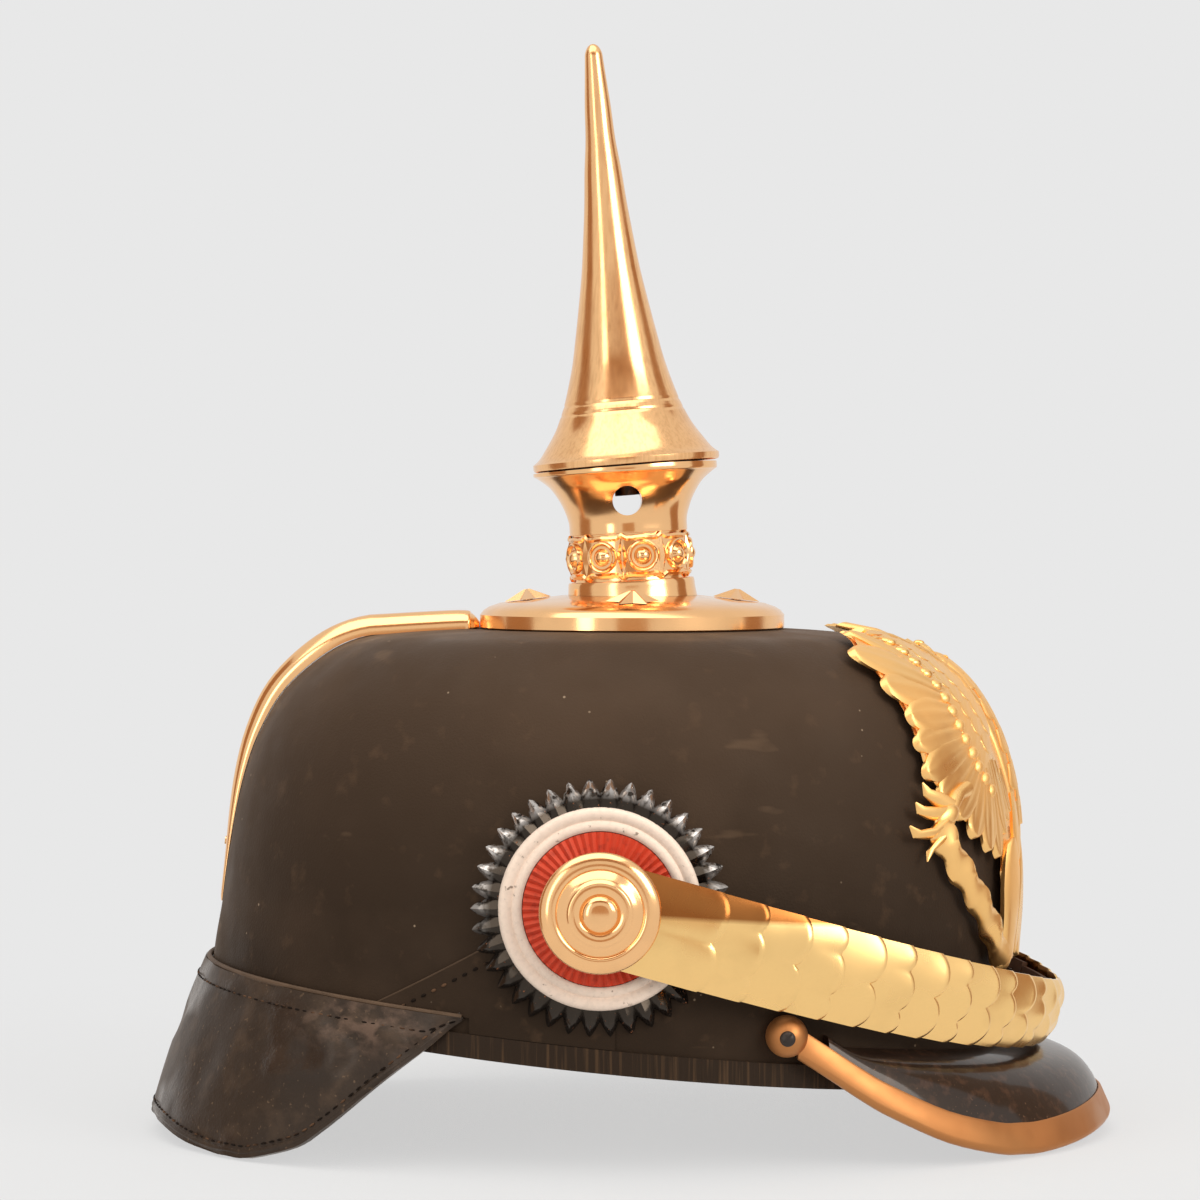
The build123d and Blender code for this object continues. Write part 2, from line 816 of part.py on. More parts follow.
with BuildPart() as spike_washer:
    with BuildSketch(spike_level.offset(-shoulder_drop - fit_gap)):
        Circle(shoulder_radius)
        Circle(thread_radius + fit_gap, mode=Mode.SUBTRACT)
    extrude(amount=-washer_thick)
spike_washer.part.label = "spike_washer"
export_step(spike_washer.part, "parts/spike_washer.step")

# Front plate, a spread eagle. Its outline is drawn on a plane that leans back and cut
# out of a shell that follows the skull. Points are shares of its half width and rise
plate_lean = 28
plate_half_width = 68
plate_rise = 102
plate_start = 80
plate_depth = 80
wing_shares = (
    (0.13, 0.63),
    (0.25, 0.78),
    (0.44, 0.96),
    (0.54, 1),
    (0.6, 0.955),
    (0.75, 0.94),
    (0.74, 0.89),
    (0.81, 0.8),
    (0.78, 0.765),
    (0.83, 0.69),
    (0.81, 0.655),
    (0.855, 0.62),
    (0.85, 0.57),
    (0.87, 0.54),
    (0.835, 0.485),
    (0.81, 0.43),
    (0.765, 0.37),
    (0.68, 0.305),
    (0.59, 0.245),
    (0.545, 0.215),
    (0.44, 0.275),
    (0.3, 0.31),
    (0.16, 0.35),
    (0.12, 0.49),
)
claw_shares = (
    (0.78, 0.49),
    (0.88, 0.53),
    (0.91, 0.505),
    (0.87, 0.475),
    (0.96, 0.49),
    (0.95, 0.455),
    (0.9, 0.44),
    (1, 0.44),
    (0.975, 0.4),
    (0.92, 0.39),
    (0.965, 0.345),
    (0.87, 0.31),
    (0.8, 0.35),
    (0.765, 0.42),
)
sceptre_shares = (
    (0.86, 0.36),
    (0.92, 0.32),
    (0.85, 0.235),
    (0.735, 0.11),
    (0.63, 0.01),
    (0.56, -0.06),
    (0.46, -0.065),
    (0.45, -0.02),
    (0.53, 0.02),
    (0.66, 0.15),
    (0.78, 0.265),
)
tail_shares = (
    (0, -0.09),
    (0.1, -0.09),
    (0.19, -0.065),
    (0.3, -0.06),
    (0.48, -0.05),
    (0.5, 0.09),
    (0.545, 0.18),
    (0.49, 0.235),
    (0.35, 0.19),
    (0.25, 0.16),
    (0.18, 0.22),
    (0.15, 0.3),
    (0.19, 0.4),
    (0.17, 0.56),
    (0.13, 0.63),
    (0.08, 0.665),
    (0.12, 0.7),
    (0.09, 0.75),
    (0.135, 0.79),
    (0.1, 0.83),
    (0, 0.86),
)
relief_middle_share = 0.5
relief_half_rise_share = 0.34
relief_half_width_share = 0.16
plate_tilt = radians(plate_lean)
plate_normal = Vector(cos(plate_tilt), 0, sin(plate_tilt))
plate_plane = Plane(origin=plate_normal * plate_start, x_dir=(0, 1, 0), z_dir=plate_normal)
plate_outside = dome(plate_gap + plate_sheet)
plate_inside = dome(plate_gap)
relief_outside = dome(plate_gap + plate_sheet + plate_relief)


def plate_outline(shares, side):
    """An outline's corners at its real size, on one side of the middle."""
    return [(side * x * plate_half_width, y * plate_rise) for x, y in shares]


with BuildPart() as plate_figure:
    with BuildSketch(plate_plane):
        for side in (1, -1):
            for shares in (wing_shares, claw_shares, sceptre_shares, tail_shares):
                with BuildLine():
                    Polyline(*plate_outline(shares, side), close=True)
                make_face()
    extrude(amount=plate_depth)

with BuildPart() as plate_body:
    with BuildSketch(plate_plane):
        with Locations((0, relief_middle_share * plate_rise)):
            Ellipse(relief_half_width_share * plate_half_width, relief_half_rise_share * plate_rise)
    extrude(amount=plate_depth)

with BuildPart() as plate_raised:
    add(relief_outside)
    add(plate_inside, mode=Mode.SUBTRACT)
    add(plate_body.part, mode=Mode.INTERSECT)

with BuildPart() as front_plate:
    add(plate_outside)
    add(plate_inside, mode=Mode.SUBTRACT)
    add(plate_figure.part, mode=Mode.INTERSECT)
    add(plate_raised.part)
front_plate.part.label = "front_plate"
export_step(front_plate.part, "parts/front_plate.step")

with BuildPart() as plate_posts:
    for turn in (plate_post_angle, -plate_post_angle):
        with BuildSketch(surface_plane(plate_post_height, turn, plate_gap - fit_gap)):
            Circle(plate_post_radius)
        extrude(amount=-plate_gap - skull_wall - nut_thick)
plate_posts.part.label = "plate_posts"
export_step(plate_posts.part, "parts/plate_posts.step")

with BuildPart() as plate_nuts:
    for turn in (plate_post_angle, -plate_post_angle):
        with BuildSketch(surface_plane(plate_post_height, turn, -skull_wall - seat_gap)):
            RegularPolygon(nut_radius, nut_sides)
            Circle(plate_post_radius + fit_gap, mode=Mode.SUBTRACT)
        extrude(amount=seat_gap - nut_thick)
plate_nuts.part.label = "plate_nuts"
export_step(plate_nuts.part, "parts/plate_nuts.step")

# Cockades lie on the posts under the strap: a fluted disc, a grooved ring and a centre
cockade_gap = 0.85
cockade_start = skull_half_width + cockade_gap
cockade_radius = 34.6
cockade_valley = 31.4
cockade_teeth = 44
cockade_thick = 1.5
ring_outer = 27.1
ring_inner = 20.7
ring_groove = 23.7
ring_thick = 1.5
centre_thick = 1.1
centre_dish = 0.4


def side_plane(distance):
    """A plane across the right post, at a distance from the middle, facing out."""
    return Plane(origin=(post_x, -distance, post_z), x_dir=(1, 0, 0), z_dir=(0, -1, 0))


with BuildPart() as right_cockade_disc:
    with BuildSketch(side_plane(cockade_start)):
        with BuildLine():
            corners = []
            for index in range(2 * cockade_teeth):
                size = (cockade_radius, cockade_valley)[index % 2]
                turn = index * pi / cockade_teeth
                corners.append((size * cos(turn), size * sin(turn)))
            Polyline(*corners, close=True)
        make_face()
        Circle(post_radius + fit_gap, mode=Mode.SUBTRACT)
    extrude(amount=cockade_thick)
right_cockade_disc.part.label = "right_cockade_disc"
export_step(right_cockade_disc.part, "parts/right_cockade_disc.step")

ring_start = cockade_start + cockade_thick + fit_gap
post_section = Plane(origin=(post_x, 0, post_z), x_dir=(1, 0, 0), z_dir=(0, 0, -1))
post_axis = Axis((post_x, 0, post_z), (0, -1, 0))

with BuildPart() as right_cockade_ring:
    with BuildSketch(post_section):
        with BuildLine():
            high, edge = ring_start + ring_thick, ring_start + ring_thick / 2
            Polyline(
                (ring_inner, ring_start),
                (ring_outer, ring_start),
                (ring_outer, edge),
                ((ring_outer + ring_groove) / 2, high),
                (ring_groove, edge),
                ((ring_inner + ring_groove) / 2, high),
                (ring_inner, edge),
                close=True,
            )
        make_face()
    revolve(axis=post_axis)
right_cockade_ring.part.label = "right_cockade_ring"
export_step(right_cockade_ring.part, "parts/right_cockade_ring.step")

with BuildPart() as right_cockade_centre:
    with BuildSketch(post_section):
        with BuildLine():
            bore, rise = post_radius + fit_gap, ring_start + centre_thick
            Polyline(
                (bore, ring_start),
                (ring_inner - seat_gap, ring_start),
                (ring_inner - seat_gap, rise - centre_dish),
                (boss_radius / 2, rise),
                (bore, rise),
                close=True,
            )
        make_face()
    revolve(axis=post_axis)
right_cockade_centre.part.label = "right_cockade_centre"
export_step(right_cockade_centre.part, "parts/right_cockade_centre.step")

for name, piece in (
    ("left_cockade_disc", right_cockade_disc),
    ("left_cockade_ring", right_cockade_ring),
    ("left_cockade_centre", right_cockade_centre),
):
    with BuildPart() as left_piece:
        mirror(piece.part, about=Plane.XZ)
    left_piece.part.label = name
    export_step(left_piece.part, f"parts/{name}.step")

# Side posts, their nuts inside the skull, and the bosses that cap them
boss_seat = 104.6
boss_rise = 6.4
boss_socket = 3.2
boss_shares = ((1, 0), (1, 0.22), (0.92, 0.42), (0.78, 0.5), (0.7, 0.44), (0.6, 0.6), (0.53, 0.66))
nub_shares = ((0.53, 0.76), (0.32, 0.76), (0.31, 0.9), (0.16, 1))
post_nut_radius = 5
post_foot = skull_side(post_x, post_z + post_nut_radius, -skull_wall) - nut_thick - seat_gap

with BuildPart() as side_posts:
    for side in (1, -1):
        with BuildSketch(Plane.XZ.offset(side * post_foot)):
            with Locations((post_x, post_z)):
                Circle(post_radius)
        extrude(amount=side * (boss_seat + boss_socket - fit_gap - post_foot))
side_posts.part.label = "side_posts"
export_step(side_posts.part, "parts/side_posts.step")

with BuildPart() as post_nuts:
    for side in (1, -1):
        with BuildSketch(Plane.XZ.offset(side * post_foot)):
            with Locations((post_x, post_z)):
                RegularPolygon(post_nut_radius, nut_sides)
                Circle(post_radius + fit_gap, mode=Mode.SUBTRACT)
        extrude(amount=side * nut_thick)
post_nuts.part.label = "post_nuts"
export_step(post_nuts.part, "parts/post_nuts.step")

with BuildPart() as right_boss:
    with BuildSketch(post_section):
        with BuildLine():
            side = [(r * boss_radius, boss_seat + h * boss_rise) for r, h in boss_shares + nub_shares]
            bore = post_radius + fit_gap
            top = boss_seat + boss_socket
            Polyline((bore, boss_seat), *side, (0, boss_seat + boss_rise), (0, top), (bore, top), close=True)
        make_face()
    revolve(axis=post_axis)
right_boss.part.label = "right_boss"
export_step(right_boss.part, "parts/right_boss.step")

with BuildPart() as left_boss:
    mirror(right_boss.part, about=Plane.XZ)
left_boss.part.label = "left_boss"
export_step(left_boss.part, "parts/left_boss.step")

# Inside: a leather sweatband round the rim, and a cloth lining that meets it
sweatband_sheet = 1.1
sweatband_height = 37
lining_drop = 4.2
lining_sheet = 0.8
lining_start = 30
sweatband_outside = dome(-skull_wall - seat_gap)
sweatband_inside = dome(-skull_wall - seat_gap - sweatband_sheet)
lining_outside = dome(-lining_drop)
lining_inside = dome(-lining_drop - lining_sheet)

with BuildPart() as sweatband:
    add(sweatband_outside)
    add(sweatband_inside, mode=Mode.SUBTRACT)
    split(bisect_by=rim_plane(seat_gap), keep=Keep.TOP)
    split(bisect_by=rim_plane(sweatband_height), keep=Keep.BOTTOM)
sweatband.part.label = "sweatband"
export_step(sweatband.part, "parts/sweatband.step")

with BuildPart() as lining:
    add(lining_outside)
    add(lining_inside, mode=Mode.SUBTRACT)
    split(bisect_by=rim_plane(lining_start), keep=Keep.TOP)
    with BuildSketch(Plane.XY.offset(skull_height - lining_drop - overrun)):
        with Locations((disc_middle, 0)):
            Circle(crown_hole)
    extrude(amount=2 * overrun, mode=Mode.SUBTRACT)
lining.part.label = "lining"
export_step(lining.part, "parts/lining.step")

# Chin strap: brass scales on leather links. Each half is a chain from its boss to the
# middle of the front, laid out on an ellipse in a plane that leans down to the front
strap_tilt = radians(strap_lean)
strap_plane = Plane(
    origin=(post_x, 0, post_z),
    x_dir=(cos(strap_tilt), 0, -sin(strap_tilt)),
    z_dir=(sin(strap_tilt), 0, cos(strap_tilt)),
)
backing_sheet = 1.6
scale_sheet = 0.6
scale_base = 1.9
scale_lift = 1.15
first_lift = 0.3
scale_arch = 2
scale_lap = 3
scale_count = 16
links = ((0, 1), (1, 4), (4, 7), (7, 10), (10, 13), (13, 16))
first_scale = 33.4
pitch_taper_share = 0.18
strap_width = 28
strap_narrowing = 10.5
narrowing_power = 1.6
backing_inset = 2.5
lobe_depth = 2.8
lobe_side_share = 0.27
strap_gap = 1.2
link_gap = 0.3
path_offset = 2.5
path_steps = 400


def strap_spot(turn, offset):
    """A point of the right half in the strap's plane, out from its inner face."""
    run, side = strap_reach * cos(turn), strap_half_width * sin(turn)
    size = hypot(run, side)
    x = strap_reach * sin(turn) + offset * strap_half_width * sin(turn) / size
    return x, -strap_half_width * cos(turn) - offset * strap_reach * cos(turn) / size


def strap_lengths():
    """The path's length from the post, at equal steps of its angle."""
    lengths = [0]
    for index in range(path_steps):
        a = strap_spot(pi / 2 * index / path_steps, path_offset)
        b = strap_spot(pi / 2 * (index + 1) / path_steps, path_offset)
        lengths.append(lengths[-1] + hypot(b[0] - a[0], b[1] - a[1]))
    return lengths


path_lengths = strap_lengths()


def strap_turn(length):
    """The angle at a length along the path."""
    index = min(sum(1 for step in path_lengths if step < length), path_steps)
    index = max(index, 1)
    low, high = path_lengths[index - 1], path_lengths[index]
    return pi / 2 * (index - 1 + (length - low) / (high - low)) / path_steps


strap_end = path_lengths[-1] - strap_gap / 2
mean_pitch = (strap_end - first_scale) / (scale_count - 1)
scale_tips = [first_scale]
for index in range(scale_count - 1):
    middle_step = (scale_count - 2) / 2
    scale_tips.append(scale_tips[-1] + mean_pitch * (1 + pitch_taper_share * (1 - index / middle_step)))


def width_at(length):
    """The strap's width, narrowing towards the front."""
    return strap_width - strap_narrowing * (length / strap_end) ** narrowing_power


def strap_point(length, offset):
    """A point of the right half in space."""
    x, y = strap_spot(strap_turn(length), offset)
    return strap_plane.origin + strap_plane.x_dir * x + strap_plane.y_dir * y


def lobes(length, width, count):
    """The front edge of a scale, as points of arcs in twos: a middle and an end."""
    base, half = length - lobe_depth, width / 2
    ends = (-half, 0, half)
    if count == 3:
        step = half - lobe_side_share * width
        ends = (-half, -step, step, half)
    points = []
    for low, high in zip(ends, ends[1:]):
        reach = base + lobe_depth * min(1, (high - low) / half)
        points.append(((reach, (low + high) / 2), (base, high)))
    return points


def scale_plate(index):
    """One arched scale with a lobed front edge, its tip over the root of the next."""
    tip_length = scale_tips[index]
    root_length = scale_tips[index - 1] - scale_lap if index else 0
    root = strap_point(root_length, scale_base + (0 if index else first_lift))
    tip = strap_point(tip_length, scale_base + scale_lift)
    along = tip - root
    length = along.length
    width = width_at(tip_length)
    rise = scale_arch + scale_sheet
    section = Plane(origin=root, x_dir=strap_plane.z_dir, z_dir=along)
    face = Plane(origin=root, x_dir=along, z_dir=section.y_dir)
    eye = 0 if index else width / 2
    with BuildPart() as plate:
        with BuildSketch(section.offset(-eye)):
            with BuildLine():
                ThreePointArc((-width / 2, 0), (0, scale_arch), (width / 2, 0))
                Line((width / 2, 0), (width / 2, scale_sheet))
                ThreePointArc((width / 2, scale_sheet), (0, rise), (-width / 2, scale_sheet))
                Line((-width / 2, scale_sheet), (-width / 2, 0))
            make_face()
        extrude(amount=length + eye)
        with BuildSketch(face):
            with BuildLine():
                start = (length - lobe_depth, -width / 2)
                last = start
                for bulge, end in lobes(length, width, 3 if index % 2 else 2):
                    ThreePointArc(last, bulge, end)
                    last = end
                Line(last, (0, width / 2))
                if index:
                    Line((0, width / 2), (0, -width / 2))
                else:
                    ThreePointArc((0, width / 2), (-width / 2, 0), (0, -width / 2))
                Line((0, -width / 2), start)
            make_face()
        extrude(amount=rise + overrun, both=True, mode=Mode.INTERSECT)
        if not index:
            with BuildSketch(post_line):
                Circle(post_radius + fit_gap)
            extrude(amount=boss_seat, mode=Mode.SUBTRACT)
    return plate.part


def ribbon(start, end, inner, outer, half, back=0):
    """A strip of the strap's curve between two lengths and two offsets."""
    middle = (start + end) / 2
    near = [strap_spot(strap_turn(length), inner) for length in (start, middle, end)]
    far = [strap_spot(strap_turn(length), outer) for length in (end, middle, start)]
    with BuildPart() as body:
        with BuildSketch(strap_plane):
            with BuildLine():
                ThreePointArc(*near)
                Line(near[-1], far[0])
                ThreePointArc(*far)
                if back:
                    Polyline(far[-1], (-back, far[-1][1]), (-back, near[0][1]), near[0])
                else:
                    Line(far[-1], near[0])
            make_face()
        extrude(amount=half, both=True)
    return body.part


post_face = Plane(origin=strap_plane.origin, x_dir=strap_plane.x_dir, z_dir=(0, -1, 0))

for number, (first, last) in enumerate(links, start=1):
    plates = [scale_plate(index) for index in range(first, last)]
    start = scale_tips[first - 1] + link_gap if first else 0
    end = scale_tips[last - 1] - (link_gap if last < scale_count else 0)
    half_width = width_at((start + end) / 2) / 2 - backing_inset
    strip_solid = ribbon(start, end, 0, backing_sheet, half_width, 0 if first else half_width)
    with BuildPart() as right_scales:
        add(plates)
    right_scales.part.label = f"right_scales_{number}"
    export_step(right_scales.part, f"parts/right_scales_{number}.step")
    with BuildPart() as left_scales:
        mirror(right_scales.part, about=Plane.XZ)
    left_scales.part.label = f"left_scales_{number}"
    export_step(left_scales.part, f"parts/left_scales_{number}.step")
    with BuildPart() as right_backing:
        add(strip_solid)
        if not first:
            with BuildSketch(post_face):
                Circle(half_width)
                with Locations((end / 2, 0)):
                    Rectangle(end, 2 * half_width)
                Circle(post_radius + fit_gap, mode=Mode.SUBTRACT)
            extrude(amount=strap_half_width + 2 * backing_sheet, mode=Mode.INTERSECT)
    right_backing.part.label = f"right_backing_{number}"
    export_step(right_backing.part, f"parts/right_backing_{number}.step")
    with BuildPart() as left_backing:
        mirror(right_backing.part, about=Plane.XZ)
    left_backing.part.label = f"left_backing_{number}"
    export_step(left_backing.part, f"parts/left_backing_{number}.step")

# At the front the right half carries a buckle on its inner side, the left half a tongue
buckle_start = 168
buckle_long = 12
buckle_half = 6
buckle_wire = 1.5
tongue_start = 164
tongue_long = 19
tongue_half = 4
tongue_sheet = 1.2
buckle_solid = ribbon(buckle_start, buckle_start + buckle_long, -buckle_wire, -seat_gap, buckle_half)
buckle_end = buckle_start + buckle_long - buckle_wire
buckle_middle = buckle_start + buckle_long / 2
inside = buckle_half - buckle_wire
front_gap = ribbon(buckle_middle + buckle_wire / 2, buckle_end, -buckle_wire * 2, 0, inside)
rear_gap = ribbon(buckle_start + buckle_wire, buckle_middle - buckle_wire / 2, -buckle_wire * 2, 0, inside)
tongue_solid = ribbon(tongue_start, tongue_start + tongue_long, -tongue_sheet, -seat_gap, tongue_half)

with BuildPart() as strap_buckle:
    add(buckle_solid)
    add(front_gap, mode=Mode.SUBTRACT)
    add(rear_gap, mode=Mode.SUBTRACT)
strap_buckle.part.label = "strap_buckle"
export_step(strap_buckle.part, "parts/strap_buckle.step")

with BuildPart() as strap_tongue:
    mirror(tongue_solid, about=Plane.XZ)
strap_tongue.part.label = "strap_tongue"
export_step(strap_tongue.part, "parts/strap_tongue.step")
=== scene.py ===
from math import atan2, ceil, copysign, cos, degrees, exp, hypot, pi, radians, sin, sqrt

import bmesh
import bpy
from bpy.props import FloatProperty, FloatVectorProperty, PointerProperty
from mathutils import Matrix, Vector, noise
from mathutils.bvhtree import BVHTree
from mathutils.geometry import intersect_point_line


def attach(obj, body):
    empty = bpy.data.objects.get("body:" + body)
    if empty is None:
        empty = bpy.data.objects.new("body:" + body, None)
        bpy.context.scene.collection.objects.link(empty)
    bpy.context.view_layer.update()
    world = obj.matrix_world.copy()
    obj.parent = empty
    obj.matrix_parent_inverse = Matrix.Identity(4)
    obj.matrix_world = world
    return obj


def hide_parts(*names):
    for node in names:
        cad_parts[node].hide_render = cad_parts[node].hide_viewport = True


bl_info = {
    "name": "Spiked helmet dressing",
    "version": (1, 0, 0),
    "blender": (4, 5, 0),
    "location": "View3D > Sidebar > Helmet",
    "description": "Leather, brass and enamel for an officer's spiked helmet",
    "category": "Add Mesh",
}

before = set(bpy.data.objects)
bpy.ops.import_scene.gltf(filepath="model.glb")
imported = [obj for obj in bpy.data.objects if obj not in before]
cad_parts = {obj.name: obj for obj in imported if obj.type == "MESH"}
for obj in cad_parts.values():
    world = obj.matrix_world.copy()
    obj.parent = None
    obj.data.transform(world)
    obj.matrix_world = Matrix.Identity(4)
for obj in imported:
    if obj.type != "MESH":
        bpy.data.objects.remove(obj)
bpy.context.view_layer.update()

# Sizes are in millimetres until a piece is finished, which scales it to metres
MM = 0.001

# Skull: rows of height, half length, half width and middle along its length
skull_height = 143.5
skull_half_length = 113.5
skull_half_width = 92
skull_wall = 2.4
skull_shares = (
    (0.07, 1.009, 1.0, -0.075), (0.28, 1.008, 1.0, -0.0635), (0.37, 1.006, 1.0, -0.0546),
    (0.453, 1.001, 0.999, -0.0414), (0.544, 0.992, 0.991, -0.0344), (0.633, 0.974, 0.976, -0.0326),
    (0.716, 0.949, 0.954, -0.0326), (0.794, 0.913, 0.922, -0.0326), (0.877, 0.851, 0.864, -0.0326),
    (0.944, 0.757, 0.777, -0.0326), (0.9805, 0.665, 0.69, -0.0326), (0.993, 0.552, 0.587, -0.0326),
    (1.0, 0.405, 0.478, -0.0326),
)
rim_height = 26.5
rim_slope = 0.1
join_rise = 10.6
binding_height = 6.4
crown_level = 140
seat_gap = 0.12
post_x = -9
post_z = 71.5
side_names = {-1: "right", 1: "left"}

upright = (0, 0, 1)


# Helpers for shapes


def between(before, low, high, after, part):
    """A value on the smooth curve through four values, between the middle two."""
    rise = (high - before) / 2
    leave = (after - low) / 2
    square, cube = part**2, part**3
    start = 2 * cube - 3 * square + 1
    return low * start + rise * (cube - 2 * square + part) + high * (1 - start) + leave * (cube - square)


def smooth_rows(rows, steps):
    """The rows with more between them, on a smooth curve."""
    result = []
    last = len(rows) - 1
    for index in range(last):
        near = (rows[max(index - 1, 0)], rows[index], rows[index + 1], rows[min(index + 2, last)])
        for step in range(steps):
            result.append(tuple(between(*four, step / steps) for four in zip(*near)))
    return result + [tuple(rows[-1])]


def part_way(start, end, part):
    """The point at a share of the way from one to another."""
    return [a + (b - a) * part for a, b in zip(start, end)]


def shares(count, whole=1):
    """Equal steps from nothing to the whole."""
    return [whole * index / count for index in range(count + 1)]


def directions(points):
    """The direction of a path at each of its points."""
    path = [Vector(point) for point in points]
    last = len(path) - 1
    return [(path[min(i + 1, last)] - path[max(i - 1, 0)]).normalized() for i in range(last + 1)]


skull_sizes = (skull_height, skull_half_length, skull_half_width, skull_half_length)
smooth_skull = [tuple(a * b for a, b in zip(row, skull_sizes)) for row in smooth_rows(skull_shares, 5)]


def skull_size(height):
    """Half length, half width and middle of the skull at one height."""
    for low, high in zip(smooth_skull, smooth_skull[1:]):
        if height <= high[0]:
            break
    return part_way(low[1:], high[1:], (height - low[0]) / (high[0] - low[0]))


def skull_reach(start, angle, height):
    """How far the skull's side is from the point (start, 0), along a level direction."""
    length, width, middle = skull_size(height)
    along, across = cos(angle) / length, sin(angle) / width
    begin = (start - middle) / length
    square = along**2 + across**2
    half = begin * along
    return (sqrt(half**2 - square * (begin**2 - 1)) - half) / square


def join_height(x):
    """Height of the line where the visor and the neck guard meet the skull."""
    return rim_height + join_rise - rim_slope * x


def moved(bm, matrix):
    """The mesh, moved by a matrix."""
    bmesh.ops.transform(bm, matrix=matrix, verts=bm.verts)
    return bm


def scaled(bm, *sizes):
    """The mesh, scaled along its three axes."""
    bmesh.ops.scale(bm, vec=sizes, verts=bm.verts)
    return bm


def ball(segments, rings, radius, *sizes):
    """A sphere, scaled along its three axes if sizes are given."""
    bm = bmesh.new()
    bmesh.ops.create_uvsphere(bm, u_segments=segments, v_segments=rings, radius=radius)
    return scaled(bm, *sizes) if sizes else bm


def cut(bm, place, normal, **how):
    """Cuts a mesh along a plane."""
    geom = bm.verts[:] + bm.edges[:] + bm.faces[:]
    bmesh.ops.bisect_plane(bm, geom=geom, plane_co=place, plane_no=normal, **how)


def fill_holes(bm, level=-1000):
    """Closes the openings of a mesh that are over a level."""
    edges = [edge for edge in bm.edges if edge.is_boundary and edge.verts[0].co.z > level]
    bmesh.ops.holes_fill(bm, edges=edges)


def thicken(bm, amount):
    """Gives an open mesh a wall, to the side away from its normals."""
    bmesh.ops.recalc_face_normals(bm, faces=bm.faces)
    bmesh.ops.solidify(bm, geom=bm.faces[:], thickness=amount)
    return bm


def lathe(profile, steps=96, rise=0):
    """A mesh spun round Z from points of radius and height, raised by a height."""
    bm = bmesh.new()
    verts = [bm.verts.new((radius, 0, height + rise)) for radius, height in profile]
    geom = verts + [bm.edges.new(pair) for pair in zip(verts, verts[1:])]
    turn = {"cent": (0, 0, 0), "axis": upright, "angle": 2 * pi}
    bmesh.ops.spin(bm, geom=geom, steps=steps, use_merge=True, **turn)
    bmesh.ops.remove_doubles(bm, verts=bm.verts, dist=0.001)
    return bm


def skin(sections):
    """A closed mesh over sections that have equally many points."""
    bm = bmesh.new()
    size = {"x_segments": len(sections[0]), "y_segments": len(sections) - 1, "size": 1}
    grid = bmesh.ops.create_grid(bm, **size)
    points = [point for section in sections for point in (*section, section[0])]
    for vert, point in zip(grid["verts"], points):
        vert.co = point
    bmesh.ops.remove_doubles(bm, verts=bm.verts, dist=0.001)
    fill_holes(bm)
    return bm


def to_mesh(name, bm):
    """A mesh made from a bmesh, which is freed."""
    mesh = bpy.data.meshes.new(name)
    bm.to_mesh(mesh)
    bm.free()
    return mesh


def add_object(name, data):
    """A new object in the scene."""
    made = bpy.data.objects.new(name, data)
    bpy.context.scene.collection.objects.link(made)
    return made


def take_in(bm, other, matrix=Matrix.Identity(4)):
    """Adds another mesh to this one at a place, and frees it."""
    mesh = to_mesh("part", moved(other, matrix))
    bm.from_mesh(mesh)
    bpy.data.meshes.remove(mesh)


def axes_matrix(origin, x_axis, z_axis):
    """The matrix of a frame with its X and Z along two directions."""
    z = Vector(z_axis).normalized()
    x = Vector(x_axis).normalized()
    y = z.cross(x)
    return Matrix.Translation(Vector(origin)) @ Matrix((x, y, z)).transposed().to_4x4()


materials = {}


def finish_piece(name, bm, finish, node=None, sharp=35, body="helmet"):
    """Turns a mesh in millimetres into a piece that rides on a body."""
    bmesh.ops.recalc_face_normals(bm, faces=bm.faces)
    scaled(bm, MM, MM, MM)
    for face in bm.faces:
        face.smooth = True
    for edge in bm.edges:
        if len(edge.link_faces) == 2 and edge.calc_face_angle() > radians(sharp):
            edge.smooth = False
    piece = add_object(name, to_mesh(name, bm))
    piece.data.materials.append(materials[finish])
    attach(piece, body)
    if node:
        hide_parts(node)
    return piece


def dress(finish, *nodes):
    """Gives CAD nodes a material."""
    for name in nodes:
        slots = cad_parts[name].data.materials
        for index in range(len(slots)):
            slots[index] = materials[finish]
        if not slots:
            slots.append(materials[finish])


# Materials. A noise is given as its repeats to the metre, its detail and its stretch


def wire(tree, node, values):
    """Sets a node's inputs to numbers, or links them to another node's output."""
    for name, value in values.items():
        if isinstance(value, bpy.types.NodeSocket):
            tree.links.new(value, node.inputs[name])
        else:
            node.inputs[name].default_value = value


def add_node(tree, kind, values, output=0, **settings):
    """The output of a new node."""
    node = tree.nodes.new("ShaderNode" + kind)
    for name, value in settings.items():
        setattr(node, name, value)
    wire(tree, node, values)
    return node.outputs[output]


def shade(colour, share):
    """The colour made darker, or brighter."""
    return [part * share for part in colour]


